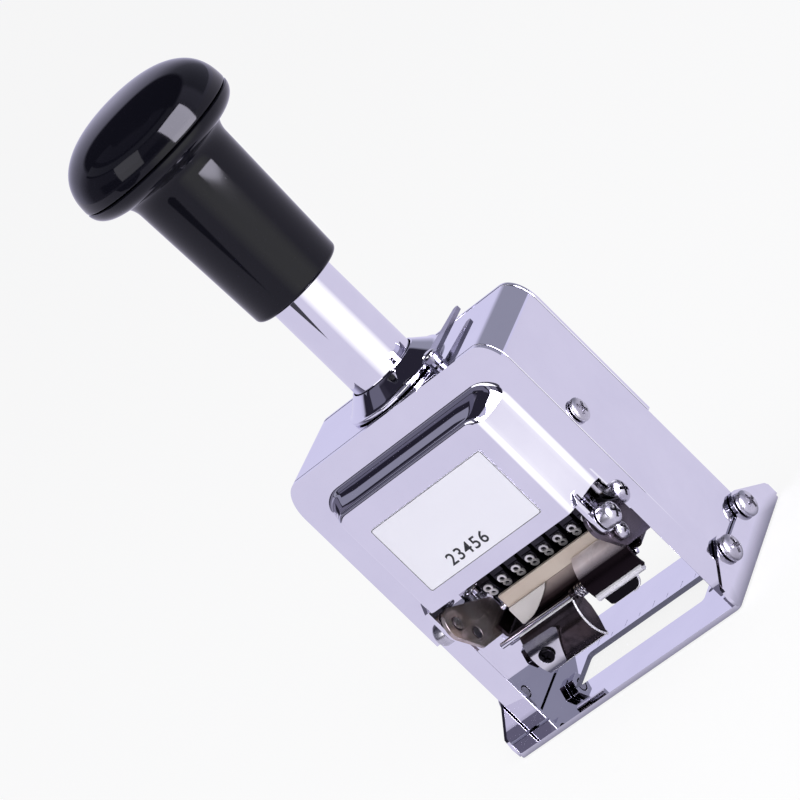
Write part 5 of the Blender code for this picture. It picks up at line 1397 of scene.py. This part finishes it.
def makeFloor():
    work = bmesh.new()
    bmesh.ops.create_grid(work, x_segments=1, y_segments=1, size=stage["floorHalf"])
    mesh = bpy.data.meshes.new("floor")
    work.to_mesh(mesh)
    work.free()
    floor = bpy.data.objects.new("floor", mesh)
    floor.location = (0, 0, -stage["floorDrop"])
    bpy.context.scene.collection.objects.link(floor)
    shade = Shade("floor")
    matt = shade.add("ShaderNodeBsdfDiffuse", {}, {"Color": stage["floor"]})
    white = shade.add("ShaderNodeEmission", {}, {"Color": (1.0, 1.0, 1.0), "Strength": 1.0})
    # what the metal sees of it is painted light and shade: brightest under the right softbox as a painted pool of
    # light, a thin dark gap painted on the left, and painted shadow beneath the foot
    x, y, _ = shade.split(shade.place())
    heading = shade.add("ShaderNodeVectorMath", {"operation": "NORMALIZE"}, {0: shade.place()})
    headX, headY, _ = shade.split(heading)
    towards = headX * stage["sector"][0] + headY * stage["sector"][1]
    reach = shade.add("ShaderNodeVectorMath", {"operation": "LENGTH"}, {0: shade.place()}, 1)
    glow = shade.spread(towards, *stage["sectorSpread"]) * shade.spread(reach, *stage["glowSpread"])
    soft = stage["soft"]
    acrossX = shade.add("ShaderNodeMath", {"operation": "ABSOLUTE"}, {0: x})
    acrossY = shade.add("ShaderNodeMath", {"operation": "ABSOLUTE"}, {0: y})
    under = ((1 - shade.spread(acrossX, stage["footX"] - soft, stage["footX"] + soft))
             * (1 - shade.spread(acrossY, stage["footY"] - soft, stage["footY"] + soft)))
    along = x * stage["streak"][0] + y * stage["streak"][1]
    aside = shade.add("ShaderNodeMath", {"operation": "ABSOLUTE"},
                      {0: y * stage["streak"][0] - x * stage["streak"][1]})
    streak = shade.spread((along - stage["streakFrom"]) * stage["streakLean"] - aside, 0.0, soft)
    lit = shade.mix(glow, stage["glossTint"], (stage["glow"],) * 3)
    lit = shade.mix(under, shade.mix(streak, lit, stage["dark"]), stage["under"])
    tinted = shade.add("ShaderNodeEmission", {}, {"Color": lit, "Strength": 1.0})
    seen = shade.add("ShaderNodeMixShader", {}, {0: lightPath(shade, "Is Camera Ray") * stage["seenWhite"],
                                                 1: matt, 2: white})
    both = shade.add("ShaderNodeMixShader", {}, {0: lightPath(shade, "Is Glossy Ray") * stage["glossShare"],
                                                 1: seen, 2: tinted})
    shade.add("ShaderNodeOutputMaterial", {}, {0: both})
    mesh.materials.append(shade.data)


def makeWorld():
    shade = Shade("surround", world=True)
    x, y, z = shade.split(shade.add("ShaderNodeTexCoord", output=0))
    # behind the machine it is pale, in front it is dim above a black gap at the table's end
    behind = shade.spread(y, *surround["behind"])
    gap = (shade.spread(z, *surround["gapFoot"]) * (1 - shade.spread(z, *surround["gapTop"]))
           * (1 - shade.spread(y, *surround["gapEnd"])))
    room = shade.mix(behind, stage["dim"], stage["high"])
    room = shade.mix(gap, room, stage["dark"])
    # a grey panel behind, which the right shoulder shows, and a dark ceiling, which the nose's top shows
    panel = (shade.spread(y, *surround["panelY"]) * shade.spread(x, *surround["panelX"])
             * shade.spread(z, *surround["panelZ"]))
    ceiling = shade.spread(z, *surround["ceilingZ"]) * shade.spread(y, *surround["ceilingY"])
    shadowed = shade.mix(ceiling, shade.mix(panel, room, stage["panel"]), stage["dark"])
    # bands of the ceiling in front, which the ledge over the label shows as lines
    front = 1 - shade.spread(y, *surround["bandEnd"])
    edge = surround["bandEdge"]
    for lowZ, highZ, tone in surround["bands"]:
        band = shade.spread(z, lowZ, lowZ + edge) * (1 - shade.spread(z, highZ, highZ + edge)) * front
        shadowed = shade.mix(band, shadowed, stage[tone])
    diffuse = shade.add("ShaderNodeBackground", {}, {"Color": stage["diffuse"], "Strength": 1.0})
    mirrored = shade.add("ShaderNodeBackground", {}, {"Color": shadowed, "Strength": 1.0})
    plain = shade.add("ShaderNodeBackground", {}, {"Color": (1.0, 1.0, 1.0), "Strength": 1.0})
    glossy = shade.add("ShaderNodeMixShader", {}, {0: lightPath(shade, "Is Glossy Ray"), 1: diffuse,
                                                   2: mirrored})
    both = shade.add("ShaderNodeMixShader", {}, {0: lightPath(shade, "Is Camera Ray"), 1: glossy, 2: plain})
    shade.add("ShaderNodeOutputWorld", {}, {0: both})
    bpy.context.scene.world = shade.data


# the softboxes show in the metal, and the fills only light the duller surfaces
lamps = [
    {"name": "rightSoftbox", "at": (0.340, -0.117, 0.188), "wide": 0.28, "high": 0.30, "power": 4.2,
     "colour": (0.86, 0.83, 1.0), "mirrored": True},
    {"name": "frontSoftbox", "at": (-0.130, -0.860, 0.420), "wide": 0.62, "high": 0.50, "power": 2.0,
     "colour": (0.93, 0.92, 1.0), "mirrored": True},
    {"name": "rightFill", "at": (0.340, -0.317, 0.300), "wide": 0.30, "high": 0.30, "power": 1.0,
     "colour": (1.0, 1.0, 1.0), "mirrored": False},
    {"name": "frontFill", "at": (-0.140, -0.880, 0.330), "wide": 0.34, "high": 0.34, "power": 1.2,
     "colour": (1.0, 1.0, 1.0), "mirrored": False},
    {"name": "topFill", "at": (-0.300, -0.200, 0.900), "wide": 0.70, "high": 0.70, "power": 2.6,
     "colour": (1.0, 1.0, 1.0), "mirrored": False},
]


def makeLamps():
    for lamp in lamps:
        data = bpy.data.lights.new(lamp["name"], "AREA")
        data.shape = "RECTANGLE"
        data.energy = lamp["power"]
        data.color = lamp["colour"]
        data.size = lamp["wide"]
        data.size_y = lamp["high"]
        light = bpy.data.objects.new(lamp["name"], data)
        light.location = lamp["at"]
        light.rotation_euler = (light.location - Vector(stage["aim"])).to_track_quat("Z", "Y").to_euler()
        light.visible_glossy = lamp["mirrored"]
        light.visible_diffuse = not lamp["mirrored"]
        bpy.context.scene.collection.objects.link(light)


makeCamera()
makeHandle()
makeStem()
makeCollar()
print("handle, stem and collar made")
makeCase()
makeCover()
makeBackCover()
makeLabel()
print("case, covers and label made")
makeFoot()
makeScrews()
makePivotScrews()
makeLever()
print("foot, screws and lever made")
makeWheels()
makeSprings()
makeWheelFrame()
makeGuides()
print("wheels, springs and inner frame made")
makePadArms()
makeTray()
makeFrame()
makeFelt()
makeHood()
makeGrip()
makeReleaseTab()
makeLatchSpring()
print("ink pad bracket made")
makeFloor()
makeWorld()
makeLamps()
bpy.context.scene.view_settings.view_transform = "Standard"
print("stage made")
